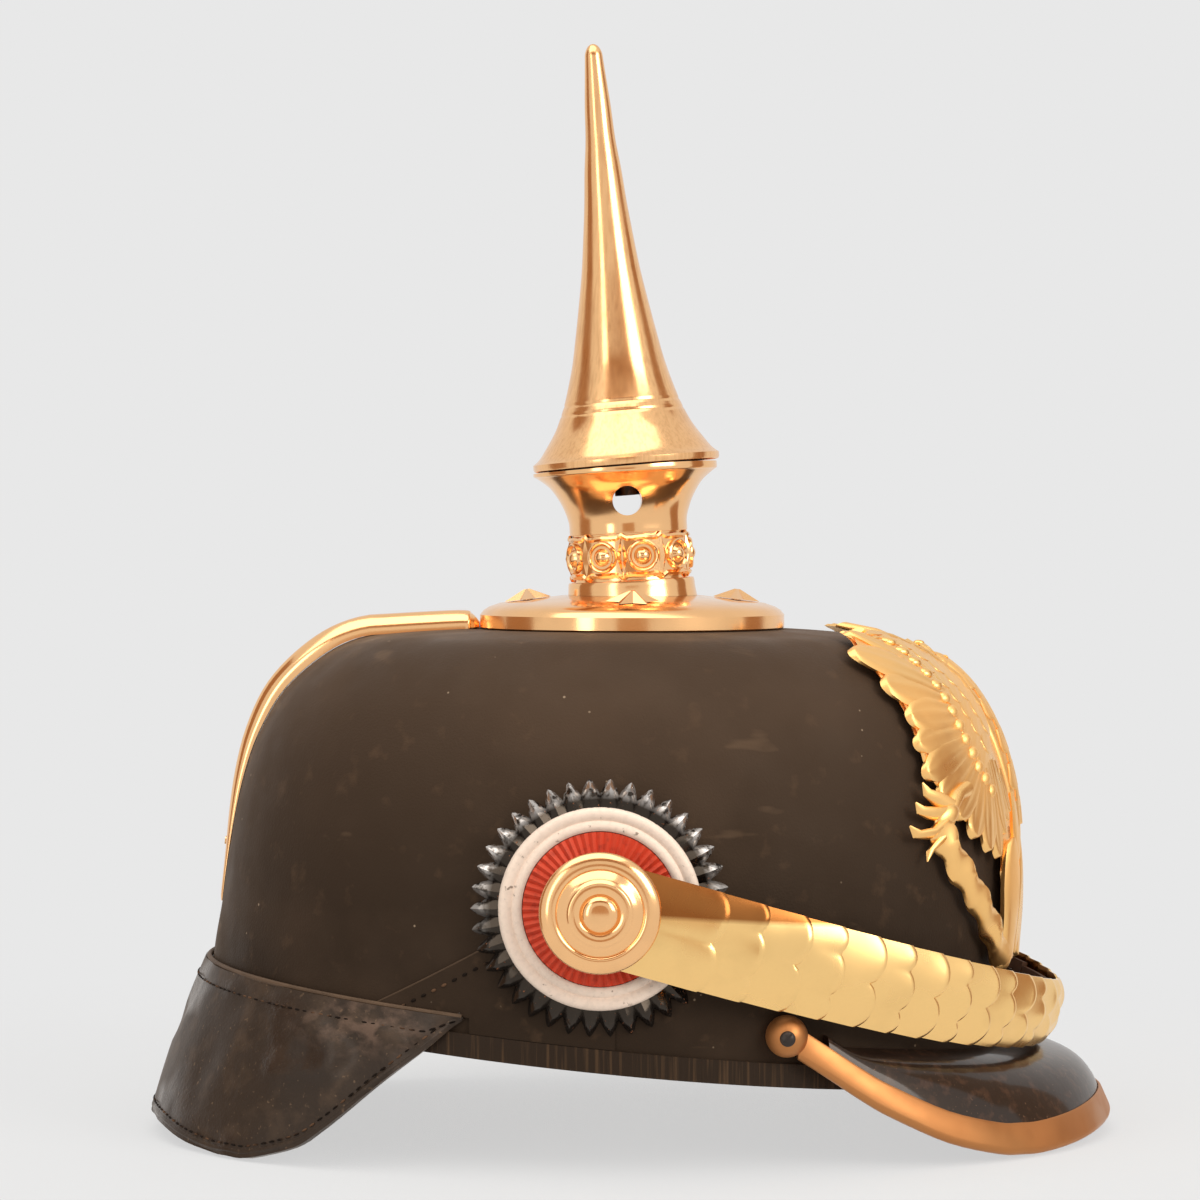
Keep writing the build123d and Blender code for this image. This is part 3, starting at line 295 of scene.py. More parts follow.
class Finish:
    """A material with one shader, and short words for its nodes."""

    def __init__(self, name, colour, roughness, metallic=0.0):
        materials[name] = bpy.data.materials.new(name)
        materials[name].use_nodes = True
        self.tree = materials[name].node_tree
        self.shader = self.tree.nodes["Principled BSDF"]
        self.set({"Base Color": (*colour, 1), "Roughness": roughness, "Metallic": metallic})
        if not metallic:
            self.set({"Specular Tint": (1, 0.8, 0.62, 1), "Coat Tint": (1, 0.9, 0.8, 1)})
        self.place = self.node("TexCoord", {}, "Object")

    def set(self, values):
        """Sets inputs of the shader."""
        wire(self.tree, self.shader, values)

    def node(self, kind, values, output=0, **settings):
        """The output of a new node of this material."""
        return add_node(self.tree, kind, values, output, **settings)

    def under(self, name):
        """What a shader's input has so far, a link or a value."""
        socket = self.shader.inputs[name]
        return socket.links[0].from_socket if socket.links else socket.default_value

    def noise(self, scale, detail, stretch=None):
        """Noise on the piece's own coordinates."""
        place = self.place
        if stretch:
            place = self.node("Mapping", {"Vector": place, "Scale": stretch})
        return self.node("TexNoise", {"Vector": place, "Scale": scale, "Detail": detail}, "Fac")

    def read(self, value):
        """A value, or the noise that its numbers give."""
        return self.noise(*value) if isinstance(value, tuple) else value

    def ramp(self, value, low, high, start=0.0, end=1.0):
        """The value's stretch from low to high turned into start to end."""
        ends = {"From Min": low, "From Max": high, "To Min": start, "To Max": end}
        return self.node("MapRange", {"Value": self.read(value), **ends})

    def times(self, first, second):
        """Two values multiplied."""
        return self.node("Math", {0: first, 1: second}, operation="MULTIPLY")

    def tint(self, colour, value, low=None, high=None, most=1.0):
        """Mixes in a colour by a share, or up to a share as a value goes from low to high."""
        share = value if low is None else self.ramp(value, low, high, 0, most)
        values = {"Factor": share, "A": self.under("Base Color"), "B": (*colour, 1)}
        self.set({"Base Color": self.node("Mix", values, "Result", data_type="RGBA")})

    def rough(self, value, low, high, start, end):
        """Takes the roughness from start to end as a value goes from low to high."""
        self.set({"Roughness": self.ramp(value, low, high, start, end)})

    def bump(self, value, depth, strength=1.0):
        """Raises the surface by a value of 0 to 1, times a depth in millimetres."""
        values = {"Height": self.read(value), "Distance": depth * MM, "Strength": strength}
        if self.shader.inputs["Normal"].links:
            values["Normal"] = self.under("Normal")
        self.set({"Normal": self.node("Bump", values)})

    def gleam(self, level, dust=0.0):
        """How strongly the bare surface reflects, and how dusty it looks at a slant."""
        self.set({"Specular IOR Level": level, "Sheen Weight": dust})
        self.set({"Sheen Roughness": 0.4, "Sheen Tint": (0.9, 0.66, 0.48, 1)})

    def coat(self, weight, roughness):
        """A clear coat, the same all over."""
        self.set({"Coat Weight": weight, "Coat Roughness": roughness})

    def vector(self, how, first, second, output="Vector"):
        """The result of a vector operation."""
        return self.node("VectorMath", {0: first, 1: second}, output, operation=how)

    def height(self, up=upright):
        """Height over the floor, or along another direction, in metres."""
        return self.vector("DOT_PRODUCT", self.place, up, "Value")

    def far(self, centre, stretch):
        """Distance from a place, in metres, with each axis times its stretch."""
        away = self.vector("SUBTRACT", self.place, centre)
        return self.vector("LENGTH", self.vector("MULTIPLY", away, stretch), (0, 0, 0), "Value")


def brass(name, colour, roughness, streaks=0.0, dents=0.05):
    """Brass with faint waves, fine scratches and duller patches."""
    finish = Finish(name, colour, roughness, 1.0)
    finish.rough((45, 3), 0.35, 0.7, roughness * 0.75, roughness * 1.5)
    finish.tint(shade(colour, 0.7), (90, 6), 0.5, 0.8, 0.3)
    finish.tint((0.62, 0.25, 0.08), (1100, 3, (1, 1, 0.02)), 0.45, 0.7, streaks)
    finish.bump((60, 2), dents)
    finish.bump((2600, 2, (1, 1, 0.15)), 0.004)
    return finish


def scale_brass(colour):
    """Brass of the chinscales, with a painted dark reflection along the upper side of the first ones."""
    finish = brass("scale_brass", colour, 0.24, 0, 0.12)
    # Painted reflection: above about 70 mm height the scales turn dark brown, standing in for the dark surroundings
    # they reflect
    finish.tint((0.36, 0.135, 0.035), finish.height((0.069, 0, 1)), 0.0698, 0.0712)


def skull_leather(base, grain_depth):
    """Dull waxed leather with a fine grain, pale specks and rubbed patches, and painted shade that darkens it
    towards the rim.
    """
    finish = Finish("skull_leather", base, 0.62)
    finish.gleam(0.14, 0.12)
    # Painted shade: darker towards the bottom, from 125 mm height down to 55 mm, for light that falls from above
    finish.tint(shade(base, 0.3), finish.height(), 0.125, 0.055, 0.8)
    finish.tint(shade(base, 1.7), (17, 5), 0.5, 0.75, 0.4)
    finish.tint((0.12, 0.07, 0.04), (150, 6), 0.6, 0.75, 0.3)
    cells = finish.node("TexVoronoi", {"Vector": finish.place, "Scale": 170}, "Distance")
    specks = finish.ramp(cells, 0.075, 0.045)
    finish.tint((0.3, 0.22, 0.15), finish.times(specks, finish.ramp((75, 2), 0.56, 0.6)))
    finish.tint((0.16, 0.1, 0.06), (60, 3, (0.25, 1, 1.6)), 0.68, 0.74, 0.4)
    finish.rough((60, 4), 0.3, 0.7, 0.5, 0.72)
    finish.bump((1500, 5), grain_depth)
    finish.bump((38, 3), 0.5, 0.5)


def patent_leather():
    """Glossy lacquered leather with a mottled brown and fine scratches."""
    finish = Finish("patent_leather", (0.014, 0.007, 0.0045), 0.4)
    finish.gleam(0.25)
    finish.tint((0.07, 0.034, 0.02), (300, 7), 0.52, 0.68, 0.6)
    finish.tint((0.16, 0.09, 0.055), (1100, 3), 0.68, 0.76)
    finish.coat(0.6, 0.1)
    finish.bump((95, 3), 0.16)
    finish.bump((700, 4), 0.03)


def guard_leather():
    """Rough worn leather with creases, shiny pressed spots and pale rubbed patches near the creases, painted lighter
    as highlights.
    """
    finish = Finish("guard_leather", (0.026, 0.0165, 0.011), 0.5)
    finish.gleam(0.25, 0.08)
    finish.tint((0.085, 0.054, 0.034), (120, 7), 0.5, 0.72, 0.6)
    finish.tint((0.2, 0.13, 0.08), (700, 4), 0.64, 0.72, 0.5)
    pressed = finish.noise(34, 2, (1, 1, 1.5))
    finish.rough(pressed, 0.5, 0.62, 0.62, 0.27)
    finish.tint((0.024, 0.015, 0.011), pressed, 0.5, 0.62, 0.55)
    # Painted highlights: pale rubbed patches near the creases, at the same place on both sides, made lighter where
    # the creases catch the light
    crease_highlight_zone = finish.ramp(finish.far((-0.073, 0, 0.0385), (0.6, 0, 1.5)), 0.014, 0.004)
    rubbed = finish.ramp((150, 4, (1, 1, 1.5)), 0.46, 0.62, 0, 0.8)
    finish.tint((0.16, 0.103, 0.075), finish.times(crease_highlight_zone, rubbed))
    finish.bump((900, 6), 0.2)
    finish.bump((150, 4), 0.5, 0.6)
    finish.bump(pressed, 6, 0.7)
    finish.coat(0.3, 0.32)


def rim_leather():
    """The strip round the rim, with fine upright ribs."""
    finish = Finish("rim_leather", (0.022, 0.0135, 0.009), 0.55)
    finish.gleam(0.2)
    ribs = finish.noise(900, 2, (1, 1, 0.04))
    finish.tint((0.11, 0.062, 0.032), ribs, 0.5, 0.68, 0.5)
    finish.bump(ribs, 0.25)
    finish.bump((300, 4), 0.12)


def plain_leather(name, colour, roughness):
    """Thin leather for straps, the sweatband and a washer."""
    finish = Finish(name, colour, roughness)
    finish.tint(shade(colour, 0.45), (110, 5), 0.45, 0.7, 0.7)
    finish.bump((900, 5), 0.1)


def lining_cloth(colour):
    """A plain weave in two directions."""
    finish = Finish("lining_cloth", colour, 0.9)
    threads = {"Vector": finish.place, "Scale": 900}
    warp, weft = (finish.node("TexWave", threads, "Fac", bands_direction=axis) for axis in "XY")
    finish.tint(shade(colour, 0.5), (40, 4), 0.4, 0.8, 0.5)
    finish.bump(finish.times(warp, weft), 0.12)


def red_cloth(colour):
    """The red ribbed centre of the cockade."""
    finish = Finish("red_cloth", colour, 0.5)
    finish.tint((0.25, 0.012, 0.008), (500, 4), 0.5, 0.75, 0.5)
    finish.bump((1800, 3), 0.05)


def enamel(finish, wear, worn, smooth, dull):
    """Painted metal, rubbed through in small chips."""
    chips = finish.ramp((wear, 7), 0.66, 0.7)
    finish.tint(worn, chips)
    finish.rough((300, 4), 0.3, 0.7, smooth, dull)
    finish.bump(chips, 0.05)


def black_enamel():
    """Black enamel of the cockade's disc, with pale worn metal on its outer tips, kept to the upper ones as a
    painted highlight.
    """
    finish = Finish("black_enamel", (0.008, 0.006, 0.005), 0.14)
    enamel(finish, 900, (0.25, 0.09, 0.04), 0.11, 0.2)
    # Painted highlight: only the outer tips on the upper side, where the light from above falls, are made pale worn
    # metal
    tips = finish.ramp(finish.far((post_x * MM, 0, post_z * MM), (1, 0, 1)), 0.0292, 0.0322)
    upper = finish.ramp(finish.height(), 0.062, 0.084)
    worn = finish.times(finish.times(tips, upper), finish.ramp((420, 3), 0.38, 0.52))
    finish.tint((0.62, 0.58, 0.55), worn)
    finish.set({"Metallic": worn})


def white_enamel(colour):
    """White paint of the cockade's ring, a little mottled."""
    finish = Finish("white_enamel", colour, 0.42)
    finish.tint(shade(colour, 0.72), (840, 4), 0.45, 0.7, 0.35)
    enamel(finish, 420, (0.36, 0.28, 0.22), 0.336, 0.546)


def dark_steel():
    """Blackened steel with brown rubbed spots."""
    finish = Finish("dark_steel", (0.05, 0.04, 0.035), 0.42, 0.8)
    finish.tint((0.2, 0.11, 0.06), (500, 5), 0.55, 0.75, 0.8)
    finish.bump((900, 3), 0.05)


def stitch_thread():
    """Waxed thread."""
    finish = Finish("stitch_thread", (0.008, 0.005, 0.004), 0.7)
    finish.gleam(0.15)
    finish.tint((0.15, 0.08, 0.045), (160, 2), 0.5, 0.6, 0.8)
    finish.bump((4000, 2), 0.03)


def colour_setting(name, about, default):
    """A colour in the panel."""
    return FloatVectorProperty(
        name=name, description=about, subtype="COLOR", size=3, min=0, max=1, default=default
    )


class HelmetSettings(bpy.types.PropertyGroup):
    """Colours and depths that a user of this helmet would change."""

    leather_colour: colour_setting("Skull leather", "Base colour of the skull's leather", (0.058, 0.036, 0.023))
    brass_colour: colour_setting(
        "Polished brass", "Colour of the spike, the disc, the bosses and the scales", (1.0, 0.58, 0.27)
    )
    plate_colour: colour_setting("Gilt plate", "Colour of the front plate", (1.0, 0.6, 0.22))
    red_colour: colour_setting("Cockade centre", "Colour of the right cockade's ribbed centre", (0.72, 0.06, 0.022))
    grain_depth: FloatProperty(
        name="Leather grain",
        description="Depth of the skull leather's grain, in millimetres",
        min=0,
        max=1,
        default=0.09,
    )


def build_materials(settings):
    """Makes each finish once."""
    gold = settings.brass_colour
    skull_leather(settings.leather_colour, settings.grain_depth)
    plain_leather("edge_leather", (0.1, 0.06, 0.036), 0.6)
    plain_leather("seam_leather", (0.06, 0.035, 0.02), 0.7)
    plain_leather("strap_leather", (0.07, 0.032, 0.018), 0.6)
    plain_leather("sweat_leather", (0.3, 0.15, 0.075), 0.55)
    lining_cloth((0.42, 0.34, 0.24))
    brass("polished_brass", gold, 0.15)
    brass("spike_brass", gold, 0.2, 0.3, 0.03)
    scale_brass([gold[0], 1.12 * gold[1], 0.96 * gold[2]])
    brass("gilt_trim", (0.5, 0.215, 0.075), 0.42, dents=0.15)
    brass("gilt_plate", settings.plate_colour, 0.36)
    white_enamel((0.96, 0.79, 0.66))
    red_cloth(settings.red_colour)
    for make in (patent_leather, guard_leather, rim_leather, black_enamel, dark_steel, stitch_thread):
        make()


# Skull, rim and inside


def skull_mesh(offset):
    """The skull's outer surface, grown by an offset."""
    profile, shapes = [], {}
    ways = directions([row[:2] for row in smooth_skull])
    for (height, length, width, middle), way in zip(smooth_skull, ways):
        out = offset * way.x
        level = round(height - offset * way.y, 2)
        profile.append((length + out, level))
        shapes[level] = ((width + out) / (length + out), middle)
    bm = lathe(profile, 160)
    for vert in bm.verts:
        ratio, middle = shapes[round(vert.co.z, 2)]
        vert.co = (vert.co.x + middle, vert.co.y * ratio, vert.co.z)
    return bm


def cut_rim(bm, rise, below):
    """Cuts away what is below, or else above, the rim's plane raised by a height."""
    cut(bm, (0, 0, rim_height + rise), (rim_slope, 0, 1), clear_inner=below, clear_outer=not below)
    return bm


class HELMET_OT_skull(bpy.types.Operator):
    """The leather skull, one smooth domed shell cut off along the sloping rim"""

    bl_idname = "helmet.skull"
    bl_label = "Skull"

    def execute(self, context):
        bm, inner = (cut_rim(skull_mesh(offset), 0, True) for offset in (0, -skull_wall))
        fill_holes(bm, crown_level)
        fill_holes(inner, crown_level)
        take_in(bm, inner)
        bmesh.ops.bridge_loops(bm, edges=[edge for edge in bm.edges if edge.is_boundary])
        finish_piece("skull", bm, "skull_leather", "skull_shell")
        return {"FINISHED"}


class HELMET_OT_rim(bpy.types.Operator):
    """The ribbed leather strip round the rim, and the sweatband and lining inside"""

    bl_idname = "helmet.rim"
    bl_label = "Rim and inside"

    def execute(self, context):
        bm = cut_rim(cut_rim(skull_mesh(0.95), 0, True), binding_height, False)
        finish_piece("rim_strip", thicken(bm, 0.85), "rim_leather", "edge_binding")
        dress("sweat_leather", "sweatband", "spike_washer")
        dress("lining_cloth", "lining")
        return {"FINISHED"}


# Visor, trim and neck guard

visor_centre = 35
visor_reach = 100.8
visor_half_width = 86
visor_sheet = 2.2
visor_grip = 5
visor_tuck = 1.6
root_share = 0.55
root_drop_share = 0.06
tail_share = 0.35
edge_slope_front = 66
edge_slope_side = 80
trim_end_height = 34.3
trim_foot = 0.23
trim_half = 4.3
trim_thick = 3.8
trim_slot = 1.25
trim_bevel = 0.8
trim_shares = (
    (0, 0.219), (0.111, 0.207), (0.222, 0.178), (0.333, 0.143), (0.444, 0.123), (0.5, 0.134),
    (0.556, 0.16), (0.667, 0.289), (0.778, 0.516), (0.833, 0.662), (0.889, 0.834), (0.944, 1),
)
lug = (41, 86.6, 36.6)
lug_radius = 5.7
screw_head = ((0, 1.15), (0.9, 1.05), (1.7, 0.7), (2.1, 0.2), (2.1, -1), (0, -1))
screw_slot = (3.4, 0.45, 0.5)
screw_turn = 0.9
guard_centre = -46
guard_reach = 92.86
guard_half_width = 88
guard_sheet = 2.2
guard_edge_rise = 31.4
guard_foot = 0.58
guard_bulge = 0.02
guard_shares = (
    (0, 0.14), (0.111, 0.156), (0.222, 0.127), (0.333, 0.057), (0.444, 0.004), (0.5, 0),
    (0.556, 0.006), (0.667, 0.14), (0.722, 0.29), (0.778, 0.484), (0.833, 0.694), (0.889, 0.89),
    (0.944, 1.08), (0.98, 1.22), (1, 1.28),
)
# Creases: from, to, and height
guard_creases = (
    ((-88, 38), (-82, 30), 1.6),
    ((-94, 30), (-90, 38), 1.0),
    ((-76, 38.5), (-60, 35.5), 1.0),
    ((-100.5, 22.9), (-82, 27), 1.3),
    ((-78.5, 30.5), (-84.5, 38), 1.3),
)
crease_width = 2.1
sag_depth = 2
sag_scale = 0.06
guard_clear = 0.2


def bezier(points, part):
    """A point on the curve that control points give."""
    while len(points) > 1:
        points = [part_way(*pair, part) for pair in zip(points, points[1:])]
    return points[0]


def along_line(line, share):
    """A point at a share of a line's steps."""
    spot = min(share, 0.9999) * (len(line) - 1)
    return part_way(line[int(spot)], line[int(spot) + 1], spot % 1)


def fan(centre, angle, points):
    """Points of distance and height on an upright plane through (centre, 0)."""
    return [(centre + reach * cos(angle), reach * sin(angle), height) for reach, height in points]


def strip(line, half):
    """The corners of a sheet of a half thickness along a line of points."""
    steps = [(x, y, half * way.x, half * way.y) for (x, y), way in zip(line, directions(line))]
    outer = [(x - rise, y + run) for x, y, run, rise in steps]
    return outer + [(x + rise, y - run) for x, y, run, rise in steps[::-1]]


def both_ways(rows):
    """Smooth rows from one side through the middle to the other, the first side negative."""
    return smooth_rows([(-share, height) for share, height in rows[:0:-1]] + list(rows), 4)


def fan_spot(turn, reach, half_width):
    """Angle and distance from the fan's centre, at a turn along its oval edge."""
    along, across = reach * cos(turn), half_width * sin(turn)
    return atan2(across, along), hypot(along, across)


def trim_spot(turn_share, height_share):
    """Fan angle, distance, height and edge slope of the trim's middle."""
    turn = radians(90 * turn_share)
    slope = edge_slope_front + (edge_slope_side - edge_slope_front) * sin(turn) ** 2
    height = trim_foot + height_share * trim_end_height
    return *fan_spot(turn, visor_reach, visor_half_width), height, radians(slope)


def visor_line(angle, reach, height, slope):
    """The visor's middle line from the skull to its edge in the trim."""
    step = (cos(slope), -sin(slope))
    end = (reach - step[0] * visor_grip, height - step[1] * visor_grip)
    join = max(join_height(visor_centre + end[0] * cos(angle)), end[1] + visor_sheet / 2)
    root = skull_reach(visor_centre, angle, join) - 0.3
    run, drop = end[0] - root, join - end[1]
    bend = (root + run * root_share, join - drop * root_drop_share)
    tail = tail_share * hypot(run, drop)
    curve = ((root, join), bend, (end[0] - step[0] * tail, end[1] - step[1] * tail), end)
    line = [bezier(curve, share) for share in shares(14)]
    return line + [(reach + step[0] * visor_tuck, height + step[1] * visor_tuck)]


def rounded_trim(angle, reach, height, slope):
    """The trim's section, a rounded fold open towards the visor's edge."""
    step, out = (cos(slope), -sin(slope)), (sin(slope), cos(slope))
    half, depth = trim_thick / 2, visor_tuck + 0.15
    nose = [(trim_half - half + half * sin(turn), half * cos(turn)) for turn in shares(8, pi)]
    upper = [(-trim_half, half * 0.8), (-trim_half + trim_bevel, half)]
    under = [(x, -y) for x, y in upper[::-1]]
    inside = [(-trim_half, -trim_slot), (depth, -trim_slot), (depth, trim_slot), (-trim_half, trim_slot)]
    local = upper + nose + under + inside
    points = [(reach + p * step[0] + q * out[0], height + p * step[1] + q * out[1]) for p, q in local]
    return fan(visor_centre, angle, points)


class HELMET_OT_visor(bpy.types.Operator):
    """The front visor, a lacquered sheet of leather that curves down to its edge"""

    bl_idname = "helmet.visor"
    bl_label = "Front visor"

    def execute(self, context):
        sections = []
        for row in both_ways(trim_shares[:11]):
            angle, *edge = trim_spot(*row)
            sections.append(fan(visor_centre, angle, strip(visor_line(angle, *edge), visor_sheet / 2)))
        finish_piece("visor", skin(sections), "patent_leather", "front_visor")
        return {"FINISHED"}


class HELMET_OT_trim(bpy.types.Operator):
    """The gilt trim folded over the visor's edge, its ball lugs and their screws"""

    bl_idname = "helmet.trim"
    bl_label = "Visor trim"

    def execute(self, context):
        bm = skin([rounded_trim(*trim_spot(*row)) for row in both_ways(trim_shares)])
        screws = bmesh.new()
        for side in side_names:
            place, out = Vector((lug[0], side * lug[1], lug[2])), Vector((0, side, 0))
            take_in(bm, ball(40, 24, lug_radius), Matrix.Translation(place))
            seat = place + out * (lug_radius - 0.2)
            take_in(screws, lathe(screw_head, 32), axes_matrix(seat, (1, 0, 0), out))
            bar = bmesh.new()
            bmesh.ops.create_cube(bar, size=1)
            high = place + out * (lug_radius + 0.75)
            turned = (cos(screw_turn), 0, sin(screw_turn))
            take_in(screws, scaled(bar, *screw_slot), axes_matrix(high, turned, out))
        finish_piece("trim", bm, "gilt_trim", "visor_trim")
        finish_piece("lug_screws", screws, "dark_steel", "trim_screws")
        return {"FINISHED"}


def guard_spot(turn_share, height_share):
    """Fan angle, distance and height of the neck guard's lower edge."""
    angle, reach = fan_spot(radians(90 * turn_share), guard_reach, guard_half_width)
    return pi - angle, reach, guard_foot + height_share * guard_edge_rise


def guard_line(angle, reach, height, lift=0.0):
    """The neck guard's outer line from its seam to its lower edge, lifted off it."""
    middle = skull_reach(guard_centre, angle, join_height(guard_centre))
    join = join_height(guard_centre + middle * cos(angle))
    root = skull_reach(guard_centre, angle, join) + seat_gap + guard_sheet
    run, drop = reach - root, join - height
    size = hypot(run, drop)
    line = []
    for share in shares(16):
        bulge = guard_bulge * size * 4 * share * (1 - share) + lift
        line.append((root + run * share + drop / size * bulge, join - drop * share + run / size * bulge))
    return line


def pipe(points, radii, sides=10, twist=0.0):
    """A closed tube along a path, roped if it has a twist for each millimetre."""
    sections = []
    path = [Vector(point) for point in points]
    sizes = radii if isinstance(radii, list) else [radii] * len(path)
    gone = 0.0
    for point, behind, along, radius in zip(path, path[:1] + path, directions(path), sizes):
        gone += (point - behind).length
        side = along.cross(Vector(upright)).normalized()
        up = side.cross(along)
        section = []
        for turn in shares(sides, 2 * pi)[:-1]:
            size = radius * (1 + 0.17 * cos(2 * turn + twist * gone)) if twist else radius
            section.append(point + (side * cos(turn) + up * sin(turn)) * size)
        sections.append(section)
    return skin(sections)


def spaced(points, spacing):
    """Points at equal spacing along a path, each with the path's direction."""
    path = [Vector(point) for point in points]
    result = []
    left = spacing / 2
    for start, end in zip(path, path[1:]):
        step = (end - start).length
        along = (end - start).normalized()
        while left < step:
            result.append((start + along * left, along))
            left += spacing
        left -= step
    return result


def stitches(bm, points, spacing, long, wide, out):
    """Adds a row of stitches along a path, flat against the direction out."""
    for place, along in spaced(points, spacing):
        face = Vector(out(place))
        face = (face - along * face.dot(along)).normalized()
        take_in(bm, ball(8, 6, 1, long / 2, wide / 2, wide / 2), axes_matrix(place, along, face))


def crumple(bm):
    """Presses hollows into the neck guard, and raises the creases of its right side."""
    for vert in bm.verts:
        x, y, z = vert.co
        out = Vector((x - guard_centre, y, 0)).normalized()
        push = -sag_depth * max(0, noise.noise(vert.co * sag_scale))
        for start, end, depth in guard_creases:
            a, b = Vector(start), Vector(end)
            near = intersect_point_line((x, z), a, b)
            spot = a + (b - a) * min(max(near[1], 0), 1)
            far = (Vector((x, z)) - spot.xy).length
            push += depth * exp(-((far / crease_width) ** 2)) * (y < 0)
        vert.co += out * push


class HELMET_OT_neck_guard(bpy.types.Operator):
    """The neck guard, a worn double layer of leather with a sewn edge"""

    bl_idname = "helmet.neck_guard"
    bl_label = "Neck guard"

    def execute(self, context):
        sections, spots = [], []
        for row in both_ways(guard_shares):
            angle, reach, level = guard_spot(*row)
            corners = strip(guard_line(angle, reach, level, -guard_sheet / 2), guard_sheet / 2)
            sections.append(fan(guard_centre, angle, corners))
            outer = guard_line(angle, reach, level, 0.1)
            size = hypot(outer[-1][0] - outer[0][0], outer[-1][1] - outer[0][1])
            near = [along_line(outer, part) for part in (min(5 / size, 0.5), max(1 - 3.2 / size, 0.5))]
            near += [(reach - 1.35, level + 1.35), (outer[0][0] - 1.3, outer[0][1] + 0.2)]
            spots.append(fan(guard_centre, angle, near))
        top_row, low_row, welt, piping = zip(*spots)
        bm = skin(sections)
        crumple(bm)
        take_in(bm, pipe(welt, 1.25))
        for vert in bm.verts:
            vert.co.z = max(vert.co.z, guard_clear)
        finish_piece("guard", bm, "guard_leather", "neck_guard")
        finish_piece("guard_piping", pipe(piping, 0.75), "edge_leather")
        thread = bmesh.new()
        for line in (top_row, low_row):
            stitches(thread, line[2:-2], 2.9, 2.0, 0.6, lambda spot: (spot.x - guard_centre, spot.y, 40))
        finish_piece("guard_stitches", thread, "stitch_thread")
        return {"FINISHED"}


class Wrap:
    """Lays flat work, drawn as across, up and height, over the skull."""

    def __init__(self, origin, across, up, out):
        bm = skull_mesh(0)
        self.tree = BVHTree.FromBMesh(bm)
        bm.free()
        self.origin, self.across, self.up, self.out = (Vector(v) for v in (origin, across, up, out))

    def foot(self, across, up):
        """The skull's point under a point of the drawing."""
        return self.tree.ray_cast(self.origin + self.across * across + self.up * up, self.out)[0]

    def normal(self, across, up):
        """The skull's outward direction under a point of the drawing."""
        step = 1.5
        aside = self.foot(across + step, up) - self.foot(across - step, up)
        above = self.foot(across, up + step) - self.foot(across, up - step)
        normal = aside.cross(above).normalized()
        return normal if normal.dot(self.out) > 0 else -normal

    def point(self, across, up, height):
        """A point at a height over the skull, straight over its place in the drawing."""
        rise = self.normal(across, up) * height
        place = (across - rise.dot(self.across), up - rise.dot(self.up))
        return self.foot(*place) + self.normal(*place) * height

    def lay(self, bm):
        """Moves a flat mesh onto the skull."""
        for vert in bm.verts:
            vert.co = self.point(*vert.co)
        return bm


def sheet(outline, low, high, step=3.0):
    """A flat plate with an outline, cut finely enough to bend."""
    bm = bmesh.new()
    bm.faces.new([bm.verts.new((x, y, high)) for x, y in outline])
    bmesh.ops.triangulate(bm, faces=bm.faces[:], ngon_method="EAR_CLIP")
    for axis, normal in enumerate(((1, 0, 0), (0, 1, 0))):
        places = [vert.co[axis] for vert in bm.verts]
        for index in range(1, ceil((max(places) - min(places)) / step)):
            cut(bm, Vector(normal) * (min(places) + index * step), normal, dist=0.0001)
    made = bmesh.ops.extrude_face_region(bm, geom=bm.faces[:])
    for item in made["geom"]:
        if isinstance(item, bmesh.types.BMVert):
            item.co.z = low
    return bm


# Overlays: places from the post, or over and under the line where the guard joins
overlay_front = 4
overlay_tail = -61
overlay_shoulder = (-27, -9)
overlay_bow = 9
overlay_rise = 0.12
overlay_drop = 4.08


class HELMET_OT_overlays(bpy.types.Operator):
    """The second layer of leather on each side, stitched along its edge"""

    bl_idname = "helmet.overlays"
    bl_label = "Side overlays"

    def execute(self, context):
        front, tip, tail_x = post_x + overlay_front, guard_centre + 2, post_x + overlay_tail
        tail = (tail_x, join_height(tail_x) + overlay_rise)
        shoulder = (post_x + overlay_shoulder[0], post_z + overlay_shoulder[1])
        bow = ((tail[0] + shoulder[0]) / 2, tail[1] + overlay_bow)
        pull = [2 * b - (a + c) / 2 for a, b, c in zip(tail, bow, shoulder)]
        edge = [bezier((tail, pull, shoulder), share) for share in shares(16)]
        outline = [(x, join_height(x) - overlay_drop) for x in (front, tip)]
        outline += [(tip, join_height(tip) + overlay_rise), *edge, (post_x, post_z), (front, post_z)]
        for side, name in side_names.items():
            wrap = Wrap((0, 0, 0), (1, 0, 0), upright, (0, side, 0))
            layer = wrap.lay(sheet(outline, 0.02, 0.72))
            finish_piece(f"{name}_layer", layer, "skull_leather", f"{name}_overlay")
            worn = pipe([wrap.point(x, y, 0.5) for x, y in edge], 0.3, 8)
            finish_piece(f"{name}_overlay_edge", worn, "seam_leather")
            thread = bmesh.new()
            row = [wrap.point(x + 1.9, y - 3.2, 0.75) for x, y in edge[1:]]
            stitches(thread, row, 3.3, 1.7, 0.9, lambda place: (0, place.y, 0))
            finish_piece(f"{name}_overlay_stitches", thread, "stitch_thread")
        return {"FINISHED"}


# Spike, neck, disc and spine. Profiles are rows of radius and height

